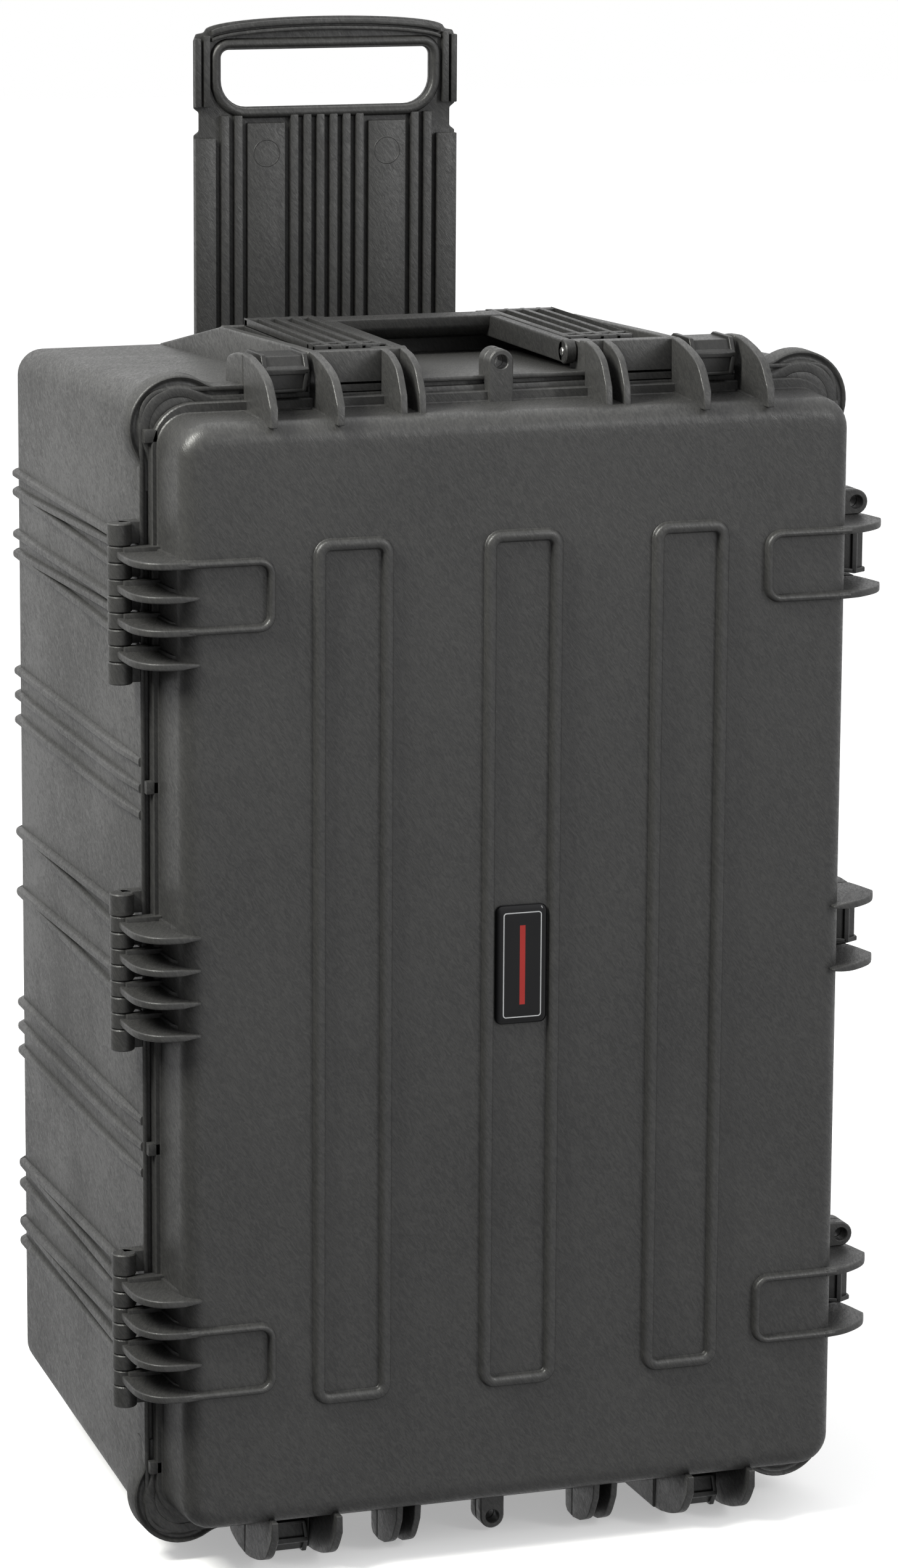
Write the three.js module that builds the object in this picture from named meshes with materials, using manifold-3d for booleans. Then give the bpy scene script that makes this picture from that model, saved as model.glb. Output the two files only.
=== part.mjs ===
// Hard equipment case on two wheels, standing on end with its pull handle drawn out.
// Millimetres. +X is the latch side, -X the hinge side, -Y the lid, +Z up.
// The origin is on the floor under the middle of the case.
import * as THREE from 'three';
import { mergeVertices } from 'three/addons/utils/BufferGeometryUtils.js';
import Module from 'manifold-3d';

const wasm = await Module();
wasm.setup();

// ---- Overall sizes ----
const MID_Z = 430;            // height of the middle of the shell
const LID_FRONT_Y = -222;     // front panel of the lid
const PARTING_Y = -163;       // where lid and base meet
const BASE_BACK_Y = 205;      // rear wall of the base
const SEAM = 0.4;             // gap across the parting line
const WALL = 4.5;             // moulded wall
const CLEAR = 0.35;           // gap round pins and between fixed pieces

// Half width (X) and half height (Z) of the shells at each end of their draft.
const LID_FRONT = { x: 244, z: 390 };
const LID_SEAM = { x: 246.5, z: 391.5 };
const LID_FLANGE = { x: 250.5, z: 398.5, front: -170 };
const BASE_SEAM = { x: 257, z: 408.5 };
const BASE_REAR = { x: 246, z: 391 };
const LID_CORNER = 30;
const BASE_CORNER = 34;
const LID_EDGE = 14;          // rounding of the lid's front edge
const BASE_EDGE = 12;         // rounding of the base's rear edge
const RIM_DEPTH = 14;         // thickness of the rim that carries the gasket
const RIM_INNER = { x: 241, z: 390.5 };
const GROOVE_INNER = { x: 244.5, z: 394 };
const GROOVE_OUTER = { x: 248.7, z: 398.2 };
const GROOVE_DEPTH = 3;

// ---- Lid ribs ----
const STADIUM_SPACING = 123.2;
const STADIUM = { w: 57.6, h: 614, ridge: 9, corner: 12, height: 5, z: 432.7 };
const LOOP_END_X = 182;       // crest of each loop's closed end
const LOOP_MOUTH_X = 236;
const LOOP_CORNER = 9;
const RIDGE = 5;              // thickness of fins and loops
const FIN_FRONT_Y = -227.5;   // crest of the fins on the front panel

// ---- Hinges ----
const HINGE_X = -271.5;
const HINGE_Y = PARTING_Y;
const HINGE_Z = [176, 434, 692];
const FIN_PITCH = 22.9;
const KNUCKLE_R = 8.5;
const HINGE_PIN_R = 3;
const BARREL_HALF = 55.7;

// ---- Latches ----
const LATCH_FIN_HALF = 22.9;  // fins either side of a latch
const SIDE_LATCH_Z = [163.7, 434, 704.3];
const END_LATCH_X = [-156.8, 156.8];
const LATCH_FIN_END_HALF = 23.7;
const LATCH_HALF = 17;
const LATCH_TIP = { half: 14, low: -5, ledge: 10.5 };   // the front face narrows towards the shell
const LATCH_PIVOT = { o: 10, y: -140 };
const LATCH_PIN_R = 2.5;

// ---- End furniture ----
const SMALL_FIN_X = [68, 81.5];
const FLANK_X = 133;
const FLANK_TOP = { front: 859.5, middle: 852, rear: 822, deep: 14 };
const SKID = { rear: 34, deep: 14, rearInset: 50 };
const TOP_END_Z = MID_Z + 400; // deepest point of the top furniture that is still inside the wall
const HANDLE_AXIS = { y: -139, z: 849.5 };
const HANDLE_PIN_R = 3;
const ARM = { in: 66, out: 118, back: 44, front: -121, top: 858, low: 842 };

// ---- Pull handle ----
const PANEL = { half: 103, y0: 211.5, y1: 219.5, low: 640, shoulder: 1049.5, crest: 1060.5 };
const WINDOW = { half: 82, low: 994, high: 1036.5 };
const TRACK = { half: 118, y1: 228, low: 424, high: 806, floor: 3.5, gap: 0.8 };

// ---- Wheels ----
const WHEEL = { x: 168, y: 174, r: 34, half: 15, hub: 22, axle: 5 };
const WELL_GAP = 4;           // room round the tyre in its well
const POD_WALL = 5;
const CHEEK_OUTLINE = [[142, 64], [158, 20], [190, 20], [203, 64]];

// ---- Small features ----
const LUG_HALF = 9;
const BUSH_R = 4.6;
const LUG_FRONT_Y = -174;
const LUG_BACK_Y = -152;
const LUGS = [['top', 0, 10], ['bottom', 0, 10], ['right', 738.5, 12], ['right', 198, 12]];
const LID_KNUCKLE_HALF = 5.6;
const BASE_KNUCKLE_HALF = 5.5;
const BARREL_INNER = 40.3;
const HINGE_GUARD = 258;      // knuckles reach past the parting line outside this X
const KNUCKLE_ARM = { near: 2, far: 12 };   // depth of the arm behind each knuckle
const PIN_CUT = BARREL_HALF + 4;
const BUMPER = { x: 229, z: 381, r: 36, back: -143 };
const RIM_TABS = [73.6, 306, 563.3, 806.7];
const TAB = { half: 4.5, out: 255.3 };
const RIB = { front: -150, latchFront: -112, half: 3.5, high: 3.5 };
const PLAIN_RIBS = [137.4, 183, 287.5, 306.4, 325, 542.7, 561.6, 580, 683.5, 729];
const FAN_HALF = 23.2;        // fanned ribs either side of each hinge
const FAN_SPREAD = 9;
const WELL_FRONT_Y = -151;
const WELL_BACK_Y = 49;
const FLANK_HALF = 4;
const WELL_HALF = 18;
const CHEEK_HALF = 3.5;
const POD_HALF = 23;
const NOTCH = { low: 973.5, high: 993.5, deep: 4 };
const GROOVE_HALF = 2.2;
const GROOVE_CUT = 3;
const GROOVE_X = [0, 10.3, 20.6, 30.9, 64.4, 74.7, 85.2, 95.5];
const FLOOR_GAP = 1;          // the lid's lower fins stop this far above the floor
const FAR = 1500;             // past the whole case
const LATCHES = [
  ...SIDE_LATCH_Z.map((s, i) => ({
    name: `side_${['low', 'middle', 'top'][i]}`, side: 'right', s, half: LATCH_FIN_HALF })),
  ...['top', 'bottom'].flatMap((side) => END_LATCH_X.map((s, i) => ({
    name: `${side}_${['left', 'right'][i]}`, side, s, half: LATCH_FIN_END_HALF }))),
];

// ---- Materials ----
const paint = (color, roughness, metalness = 0) =>
  new THREE.MeshStandardMaterial({ color, roughness, metalness });
const SHELL = paint(0x3b3c3d, 0.6);
const BLACK = paint(0x1d1e1f, 0.5);
const RUBBER = paint(0x161616, 0.85);
const GLOSS = paint(0x0c0c0d, 0.15);
const STEEL = paint(0xa9acae, 0.35, 0.9);

// ---- Solids ----
function solid(geometry) {
  const bare = geometry.clone();
  bare.deleteAttribute('normal');
  bare.deleteAttribute('uv');
  const merged = mergeVertices(bare, 1e-4);
  return new wasm.Manifold(new wasm.Mesh({
    numProp: 3,
    vertProperties: Float32Array.from(merged.attributes.position.array),
    triVerts: Uint32Array.from(merged.index.array),
  }));
}

function join(solids) {
  return solids.reduce((all, next) => all.add(next));
}

const root = new THREE.Group();

function piece(name, body, material) {
  const data = body.getMesh();
  const geometry = new THREE.BufferGeometry();
  geometry.setAttribute('position', new THREE.BufferAttribute(data.vertProperties, 3));
  geometry.setIndex(new THREE.BufferAttribute(data.triVerts, 1));
  geometry.computeVertexNormals();
  const mesh = new THREE.Mesh(geometry, material);
  mesh.name = name;
  root.add(mesh);
}

// Drawing planes: each extrudes a flat shape along one axis of the case.
const AXES = {
  x: new THREE.Matrix4().makeBasis(
    new THREE.Vector3(0, 1, 0), new THREE.Vector3(0, 0, 1), new THREE.Vector3(1, 0, 0)),
  y: new THREE.Matrix4().makeBasis(
    new THREE.Vector3(1, 0, 0), new THREE.Vector3(0, 0, 1), new THREE.Vector3(0, -1, 0)),
  z: new THREE.Matrix4(),
};

function extrude(shape, axis, from, to, bevel = 0, curveSegments = 4, bevelSegments = 2) {
  const geometry = new THREE.ExtrudeGeometry(shape, {
    depth: to - from - 2 * bevel,
    bevelEnabled: bevel > 0,
    bevelSize: bevel,
    bevelOffset: -bevel,
    bevelThickness: bevel,
    bevelSegments,
    curveSegments,
    steps: 1,
  });
  geometry.translate(0, 0, axis === 'y' ? -to + bevel : from + bevel);
  geometry.applyMatrix4(AXES[axis]);
  return geometry;
}

function box(x0, x1, y0, y1, z0, z1) {
  const geometry = new THREE.BoxGeometry(x1 - x0, y1 - y0, z1 - z0);
  geometry.translate((x0 + x1) / 2, (y0 + y1) / 2, (z0 + z1) / 2);
  return solid(geometry);
}

// A round bar along one axis; centre holds the two coordinates across it.
function bar(axis, radius, from, to, centre, segments = 16) {
  const geometry = new THREE.CylinderGeometry(radius, radius, to - from, segments);
  geometry.translate(0, (from + to) / 2, 0);
  if (axis === 'x') {
    geometry.rotateZ(-Math.PI / 2);
    geometry.translate(0, centre[0], centre[1]);
  } else if (axis === 'z') {
    geometry.rotateX(Math.PI / 2);
    geometry.translate(centre[0], centre[1], 0);
  } else {
    geometry.translate(centre[0], 0, centre[1]);
  }
  return solid(geometry);
}

function polygon(points) {
  return new THREE.Shape(points.map(([a, b]) => new THREE.Vector2(a, b)));
}

function roundedRect(cx, cy, halfW, halfH, radius) {
  const shape = new THREE.Shape();
  shape.moveTo(cx - halfW + radius, cy - halfH);
  shape.lineTo(cx + halfW - radius, cy - halfH);
  shape.absarc(cx + halfW - radius, cy - halfH + radius, radius, -Math.PI / 2, 0);
  shape.lineTo(cx + halfW, cy + halfH - radius);
  shape.absarc(cx + halfW - radius, cy + halfH - radius, radius, 0, Math.PI / 2);
  shape.lineTo(cx - halfW + radius, cy + halfH);
  shape.absarc(cx - halfW + radius, cy + halfH - radius, radius, Math.PI / 2, Math.PI);
  shape.lineTo(cx - halfW, cy - halfH + radius);
  shape.absarc(cx - halfW + radius, cy - halfH + radius, radius, Math.PI, 1.5 * Math.PI);
  return shape;
}

// Draft: scales X and Z about the middle of the case between two Y stations.
function draft(geometry, y0, half0, y1, half1) {
  const position = geometry.attributes.position;
  for (let i = 0; i < position.count; i += 1) {
    const t = (position.getY(i) - y0) / (y1 - y0);
    const growX = 1 + t * (half1.x / half0.x - 1);
    const growZ = 1 + t * (half1.z / half0.z - 1);
    position.setX(i, position.getX(i) * growX);
    position.setZ(i, MID_Z + (position.getZ(i) - MID_Z) * growZ);
  }
  return geometry;
}

// A plan shape in side coordinates: o is outward from the base rim, y is depth.
// It is turned to the named side and extruded to the given thickness about s.
function onSide(side, points, s, thickness) {
  const placed = points.map(([o, y]) => ({
    right: [BASE_SEAM.x + o, y],
    left: [-BASE_SEAM.x - o, y],
    top: [y, MID_Z + BASE_SEAM.z + o],
    bottom: [y, MID_Z - BASE_SEAM.z - o],
  })[side]);
  const axis = side === 'left' || side === 'right' ? 'z' : 'x';
  return solid(extrude(polygon(placed), axis, s - thickness / 2, s + thickness / 2));
}

function curve(points, count) {
  const spline = new THREE.SplineCurve(points.map(([a, b]) => new THREE.Vector2(a, b)));
  return spline.getPoints(count).map((p) => [p.x, p.y]);
}

// ---- Outlines shared by the fins, in side coordinates ----
const LATCH_FIN = [
  [-22, PARTING_Y - SEAM], [17, PARTING_Y - SEAM], [20, -176],
  ...curve([[23, -193], [14, -210], [-4, -223], [-22, FIN_FRONT_Y]], 5), [-22, -212],
];
const HINGE_FIN = [
  [-12, -172], [9, -166], [14, -165], [18.5, -169],
  ...curve([[19, -180], [18.6, -203], [13.5, -217], [4, -225.5], [-11, -228]], 5), [-22, -226], [-22, -212],
];
const END_FIN = [
  [-22, PARTING_Y - SEAM], [21.3, PARTING_Y - SEAM],
  ...curve([[20, -175], [15, -196], [7, -213], [-9, -225]], 5), [-22, -226], [-22, -212],
];
const SMALL_FIN = [
  [-21, PARTING_Y - SEAM], [21.3, PARTING_Y - SEAM],
  ...curve([[19, -178], [11, -194], [-6, -205]], 4), [-21, -207],
];
const BASE_FIN = [
  [-3, PARTING_Y], [17, PARTING_Y], [18, -148], [15, -131], [9, -126], [-3, -124],
];
const SMALL_BASE_FIN = [
  [-3, PARTING_Y], [21.3, PARTING_Y], [20.5, -153], [17, -149], [-3, -148],
];
const BASE_END_FIN = [
  [-3, PARTING_Y], [21.3, PARTING_Y], [20.5, -148], [16, -129], [9, -124], [-3, -122],
];

// ---- Lid ----
function lidSkin(offset, backY) {
  const frontY = LID_FRONT_Y + offset;
  const edge = LID_EDGE - offset / 2;
  const shape = roundedRect(0, MID_Z, LID_FRONT.x - offset, LID_FRONT.z - offset, LID_CORNER - offset);
  const geometry = extrude(shape, 'y', frontY, backY + 2 * edge, edge);
  return solid(draft(geometry, LID_FRONT_Y, LID_FRONT, PARTING_Y, LID_SEAM));
}

function stadium(x) {
  const { w, h, ridge, corner, height, z } = STADIUM;
  const shape = roundedRect(x, z, w / 2, h / 2, corner);
  shape.holes.push(roundedRect(x, z, w / 2 - ridge, h / 2 - ridge, corner - ridge + 2));
  return solid(extrude(shape, 'y', LID_FRONT_Y - height, LID_FRONT_Y + 1, 0, 3));
}

// The U-shaped end that joins two fins on the front panel.
function loop(sign, high, low) {
  const half = RIDGE / 2;
  const arm = (inset) => {
    const end = LOOP_END_X + inset;
    const r = LOOP_CORNER - inset;
    const top = high - inset;
    const foot = low + inset;
    const upper = curve([[end + r, top], [end + r * 0.3, top - r * 0.3], [end, top - r]], 3);
    const lower = curve([[end, foot + r], [end + r * 0.3, foot + r * 0.3], [end + r, foot]], 3);
    return [[LOOP_MOUTH_X, top], ...upper, ...lower, [LOOP_MOUTH_X, foot]];
  };
  const ring = [...arm(-half), ...arm(half).reverse()];
  const placed = ring.map(([x, z]) => [sign * x, z]);
  return solid(extrude(polygon(placed), 'y', FIN_FRONT_Y, LID_FRONT_Y + 1));
}

function hingeFinZ(centre) {
  return [1.5, 0.5, -0.5, -1.5].map((step) => centre + step * FIN_PITCH);
}

// A plate with a round head and a padlock hole, standing out from one side of the rim.
function padlockLug([side, s, hole], y0, y1) {
  const place = ([ds, o]) => ({
    right: [BASE_SEAM.x + o, s + ds],
    top: [s + ds, MID_Z + BASE_SEAM.z + o],
    bottom: [s + ds, MID_Z - BASE_SEAM.z - o],
  })[side];
  const head = [];
  for (let step = 0; step <= 6; step += 1) {
    const angle = Math.PI * (1 - step / 6);
    head.push([LUG_HALF * Math.cos(angle), hole + LUG_HALF * Math.sin(angle)]);
  }
  const foot = y0 < PARTING_Y ? -20 : -5;
  const outline = [[-LUG_HALF, foot], ...head, [LUG_HALF, foot]].map(place);
  const plate = solid(extrude(polygon(outline), 'y', y0, y1));
  return plate.subtract(bar('y', BUSH_R + CLEAR, y0 - 1, y1 + 1, place([0, hole]), 10));
}

function behind(y) {
  return box(-FAR, FAR, y, FAR, -FAR, FAR);
}

function ahead(y) {
  return box(-FAR, FAR, -FAR, y, -FAR, FAR);
}

function lid() {
  const parts = [lidSkin(0, PARTING_Y)];
  for (const step of [-1, 0, 1]) {
    parts.push(stadium(step * STADIUM_SPACING));
  }
  for (const z of SIDE_LATCH_Z) {
    parts.push(onSide('right', LATCH_FIN, z + LATCH_FIN_HALF, RIDGE));
    parts.push(onSide('right', LATCH_FIN, z - LATCH_FIN_HALF, RIDGE));
  }
  for (const z of HINGE_Z.flatMap(hingeFinZ)) {
    parts.push(onSide('left', HINGE_FIN, z, RIDGE));
  }
  const lowHinge = hingeFinZ(HINGE_Z[0]);
  const topHinge = hingeFinZ(HINGE_Z[2]);
  parts.push(loop(-1, topHinge[0], topHinge[2]));
  parts.push(loop(-1, lowHinge[1], lowHinge[3]));
  for (const z of [SIDE_LATCH_Z[0], SIDE_LATCH_Z[2]]) {
    parts.push(loop(1, z + LATCH_FIN_HALF, z - LATCH_FIN_HALF));
  }
  for (const side of ['top', 'bottom']) {
    for (const x of END_LATCH_X) {
      parts.push(onSide(side, END_FIN, x - LATCH_FIN_END_HALF, RIDGE + 1));
      parts.push(onSide(side, END_FIN, x + LATCH_FIN_END_HALF, RIDGE + 1));
    }
    for (const x of SMALL_FIN_X) {
      parts.push(onSide(side, SMALL_FIN, x, RIDGE));
      parts.push(onSide(side, SMALL_FIN, -x, RIDGE));
    }
  }
  for (const lug of LUGS) {
    parts.push(padlockLug(lug, LUG_FRONT_Y, PARTING_Y - SEAM));
  }
  const flange = roundedRect(0, MID_Z, LID_FLANGE.x, LID_FLANGE.z, LID_CORNER);
  parts.push(solid(extrude(flange, 'y', LID_FLANGE.front, PARTING_Y)));
  for (const z of RIM_TABS) {
    parts.push(box(-TAB.out, TAB.out, LID_FLANGE.front, PARTING_Y, z - TAB.half, z + TAB.half));
  }
  let body = join(parts).subtract(lidSkin(WALL, PARTING_Y)).subtract(behind(PARTING_Y - SEAM));
  const knuckles = HINGE_Z.flatMap(hingeFinZ).map((z) => {
    const z0 = z - LID_KNUCKLE_HALF;
    const z1 = z + LID_KNUCKLE_HALF;
    const arm = box(HINGE_X, -LID_SEAM.x + 2, HINGE_Y - KNUCKLE_ARM.far, HINGE_Y - KNUCKLE_ARM.near, z0, z1);
    return bar('z', KNUCKLE_R, z0, z1, [HINGE_X, HINGE_Y], 12).add(arm);
  });
  body = body.add(join(knuckles));
  for (const z of HINGE_Z) {
    body = body.subtract(bar('z', HINGE_PIN_R + CLEAR, z - PIN_CUT, z + PIN_CUT, [HINGE_X, HINGE_Y], 10));
  }
  return body.subtract(box(-FAR, FAR, -FAR, FAR, -FAR, FLOOR_GAP));
}

// ---- Base ----
function baseSkin(offset, edge) {
  const shape = roundedRect(0, MID_Z, BASE_SEAM.x - offset, BASE_SEAM.z - offset, BASE_CORNER - offset);
  const geometry = extrude(shape, 'y', PARTING_Y - 3 * edge, BASE_BACK_Y - offset, edge);
  return solid(draft(geometry, PARTING_Y, BASE_SEAM, BASE_BACK_Y, BASE_REAR));
}

function rimRing(half, corner) {
  return roundedRect(0, MID_Z, half.x, half.z, corner);
}

function wallAt(axis, y) {
  const t = (y - PARTING_Y) / (BASE_BACK_Y - PARTING_Y);
  return BASE_SEAM[axis] + t * (BASE_REAR[axis] - BASE_SEAM[axis]);
}

// A low rib on a side wall, running from behind the rim to the rear edge.
function wallRib(sign, frontZ, rearZ) {
  const y0 = sign < 0 ? RIB.front : RIB.latchFront;
  const y1 = BASE_BACK_Y - 1;
  const strip = [[wallAt('x', y0) - 2, y0], [wallAt('x', y0) + RIB.high, y0],
    [wallAt('x', y1) + RIB.high, y1], [wallAt('x', y1) - 2, y1]];
  const placed = strip.map(([x, y]) => [sign * x, y]);
  const geometry = extrude(polygon(placed), 'z', -RIB.half, RIB.half);
  const position = geometry.attributes.position;
  for (let i = 0; i < position.count; i += 1) {
    const t = (position.getY(i) - y0) / (y1 - y0);
    position.setZ(i, position.getZ(i) + frontZ + t * (rearZ - frontZ));
  }
  return solid(geometry);
}

// The rib where it turns the corner and crosses the rear wall towards the track.
function rearRib(sign, z) {
  const inner = sign * (TRACK.half + 6);
  const outer = sign * (BASE_REAR.x + RIB.high);
  const strip = [[inner, BASE_BACK_Y - 1], [inner, BASE_BACK_Y + RIB.high - 1], [outer - sign * 12,
    BASE_BACK_Y + RIB.high], [outer, BASE_BACK_Y - 10], [outer - sign * (RIB.high + 3), BASE_BACK_Y - 14]];
  return solid(extrude(polygon(strip), 'z', z - RIB.half, z + RIB.half));
}

function ribs() {
  const rows = [];
  for (const sign of [-1, 1]) {
    for (const z of PLAIN_RIBS) {
      rows.push(wallRib(sign, z, z), rearRib(sign, z));
    }
    for (const rear of HINGE_Z.flatMap((centre) => [centre - FAN_HALF, centre + FAN_HALF])) {
      const fronts = sign < 0 ? [rear - FAN_SPREAD, rear + FAN_SPREAD] : [rear];
      rows.push(...fronts.map((front) => wallRib(sign, front, rear)), rearRib(sign, rear));
    }
  }
  return rows;
}

// Side flanks of the handle well on the top end, and the skids on the bottom end.
function flank(x, end) {
  const topRearY = BASE_BACK_Y - 10;
  const skidRearY = BASE_BACK_Y - SKID.rearInset;
  const outline = end === 'top'
    ? [[PARTING_Y, TOP_END_Z], [PARTING_Y, FLANK_TOP.front], [WELL_BACK_Y, FLANK_TOP.middle],
      [topRearY, FLANK_TOP.rear], [topRearY, FLANK_TOP.rear - FLANK_TOP.deep]]
    : [[PARTING_Y, 2 * MID_Z - TOP_END_Z], [PARTING_Y, 0], [WELL_BACK_Y, 0],
      [skidRearY, SKID.rear], [skidRearY, SKID.rear + SKID.deep]];
  return solid(extrude(polygon(outline), 'x', x - FLANK_HALF, x + FLANK_HALF));
}

function endFurniture() {
  const rows = [];
  for (const side of ['top', 'bottom']) {
    for (const x of END_LATCH_X) {
      rows.push(onSide(side, BASE_END_FIN, x - LATCH_FIN_END_HALF, RIDGE + 1));
      rows.push(onSide(side, BASE_END_FIN, x + LATCH_FIN_END_HALF, RIDGE + 1));
    }
    for (const sign of [-1, 1]) {
      rows.push(flank(sign * FLANK_X, side));
      const s = sign * (SMALL_FIN_X[0] + SMALL_FIN_X[1]) / 2;
      rows.push(onSide(side, SMALL_BASE_FIN, s, SMALL_FIN_X[1] - SMALL_FIN_X[0] + RIDGE));
    }
  }
  const { top, low } = ARM;
  for (const sign of [-1, 1]) {
    const span = [sign * (SMALL_FIN_X[1] - 1), sign * FLANK_X].sort((a, b) => a - b);
    rows.push(box(span[0], span[1], PARTING_Y, WELL_FRONT_Y, low - 12, top + 1));
    const boss = [sign * (ARM.in + 1), sign * (SMALL_FIN_X[1] - 1)].sort((a, b) => a - b);
    rows.push(box(boss[0], boss[1], WELL_FRONT_Y - 1, HANDLE_AXIS.y + 10, low - 12, top - 1));
  }
  rows.push(box(-FLANK_X, FLANK_X, WELL_BACK_Y - 3, WELL_BACK_Y + 4, low - 22, FLANK_TOP.middle));
  return rows;
}

function wheelCheek(x) {
  return solid(extrude(polygon(CHEEK_OUTLINE), 'x', x - CHEEK_HALF, x + CHEEK_HALF));
}

function base() {
  const rows = [baseSkin(0, BASE_EDGE)];
  for (const sx of [-1, 1]) {
    for (const sz of [-1, 1]) {
      rows.push(bar('y', BUMPER.r, PARTING_Y, BUMPER.back, [sx * BUMPER.x, MID_Z + sz * BUMPER.z], 20));
    }
  }
  for (const z of SIDE_LATCH_Z) {
    rows.push(onSide('right', BASE_FIN, z + LATCH_FIN_HALF, RIDGE));
    rows.push(onSide('right', BASE_FIN, z - LATCH_FIN_HALF, RIDGE));
  }
  for (const lug of LUGS) {
    rows.push(padlockLug(lug, PARTING_Y, LUG_BACK_Y));
  }
  rows.push(...ribs(), ...endFurniture());
  for (const centre of HINGE_Z) {
    const spans = [1, 0, -1].map((step) => [centre + step * FIN_PITCH - BASE_KNUCKLE_HALF,
      centre + step * FIN_PITCH + BASE_KNUCKLE_HALF]);
    spans.push([centre - BARREL_HALF, centre - BARREL_INNER], [centre + BARREL_INNER, centre + BARREL_HALF]);
    for (const [z0, z1] of spans) {
      rows.push(bar('z', KNUCKLE_R, z0, z1, [HINGE_X, HINGE_Y], 12));
      rows.push(box(HINGE_X, -BASE_SEAM.x + 3, HINGE_Y + 1, HINGE_Y + 13, z0, z1));
    }
  }
  const knuckleRoom = HINGE_Z.map((z) =>
    box(-FAR, -HINGE_GUARD, -FAR, PARTING_Y + 1, z - PIN_CUT, z + PIN_CUT));
  let body = join(rows).subtract(ahead(PARTING_Y).subtract(join(knuckleRoom)));
  // Hollow, rim and gasket groove.
  const well = (sign, half, wall) => box(sign * WHEEL.x - half, sign * WHEEL.x + half,
    WHEEL.y - WHEEL.r - WELL_GAP - wall, FAR, -FAR, 2 * WHEEL.r + WELL_GAP + wall);
  const wells = [-1, 1].map((sign) => well(sign, POD_HALF, POD_WALL));
  const hollow = baseSkin(WALL, BASE_EDGE - 3).subtract(ahead(PARTING_Y + RIM_DEPTH)).subtract(join(wells));
  body = body.subtract(hollow);
  body = body.subtract(solid(extrude(rimRing(RIM_INNER, 24), 'y', PARTING_Y - 9, PARTING_Y + RIM_DEPTH + 1)));
  const groove = rimRing(GROOVE_OUTER, 27);
  groove.holes.push(rimRing(GROOVE_INNER, 23));
  body = body.subtract(solid(extrude(groove, 'y', PARTING_Y - 9, PARTING_Y + GROOVE_DEPTH)));
  // Wheel wells with their cheeks.
  for (const sign of [-1, 1]) {
    body = body.subtract(well(sign, WELL_HALF, 0));
    body = body.add(wheelCheek(sign * WHEEL.x - WELL_HALF - CHEEK_HALF + 0.5));
    body = body.add(wheelCheek(sign * WHEEL.x + WELL_HALF + CHEEK_HALF - 0.5));
    body = body.subtract(hollow);
    const reach = POD_HALF + 2 * CHEEK_HALF;
    body = body.subtract(bar('x', WHEEL.axle + CLEAR, sign * WHEEL.x - reach, sign * WHEEL.x + reach,
      [WHEEL.y, WHEEL.r], 12));
  }
  // Pin holes.
  for (const z of HINGE_Z) {
    body = body.subtract(bar('z', HINGE_PIN_R + CLEAR, z - PIN_CUT, z + PIN_CUT, [HINGE_X, HINGE_Y], 10));
  }
  for (const { side, s, half } of LATCHES) {
    body = body.subtract(latchBar(side, s, half + 4, LATCH_PIN_R + CLEAR));
  }
  for (const sign of [-1, 1]) {
    body = body.subtract(bar('x', HANDLE_PIN_R + CLEAR, ...handlePinSpan(sign, 1), handlePinCentre(), 10));
  }
  return body;
}

// ---- Latches ----
function latchBar(side, s, half, radius, segments = 12) {
  const { o, y } = LATCH_PIVOT;
  if (side === 'right') return bar('z', radius, s - half, s + half, [BASE_SEAM.x + o, y], segments);
  const z = side === 'top' ? MID_Z + BASE_SEAM.z + o : MID_Z - BASE_SEAM.z - o;
  return bar('x', radius, s - half, s + half, [y, z], segments);
}

const LATCH_OUTLINE = [
  [3, -143], [1.6, -150], [1.6, -164.5], [-4.5, -168], [-4.5, -177.5], [-3.5, -178.5], [9.5, -178.5],
  [10.5, -177.5], [20.8, -171.5], [21.3, -169], [21.3, -141], [18, -134.5], [10, -132.6], [5, -135],
];

function latch({ side, s }) {
  const { half, low, ledge } = LATCH_TIP;
  const face = [[-half, low], [half, low], [LATCH_HALF, ledge], [LATCH_HALF, FAR], [-LATCH_HALF, FAR],
    [-LATCH_HALF, ledge]];
  const place = ([ds, o]) => ({
    right: [BASE_SEAM.x + o, s + ds],
    top: [s + ds, MID_Z + BASE_SEAM.z + o],
    bottom: [s + ds, MID_Z - BASE_SEAM.z - o],
  })[side];
  const trim = solid(extrude(polygon(face.map(place)), 'y', -FAR, FAR));
  const body = onSide(side, LATCH_OUTLINE, s, 2 * LATCH_HALF).intersect(trim);
  return body.subtract(latchBar(side, s, LATCH_HALF + 1, LATCH_PIN_R + CLEAR));
}

// ---- Carry handle ----
function handlePinCentre() {
  return [HANDLE_AXIS.y, HANDLE_AXIS.z];
}

function handlePinSpan(sign, extra) {
  return [sign * (ARM.in - 9 - extra), sign * (ARM.in + 11 + extra)].sort((a, b) => a - b);
}

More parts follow.
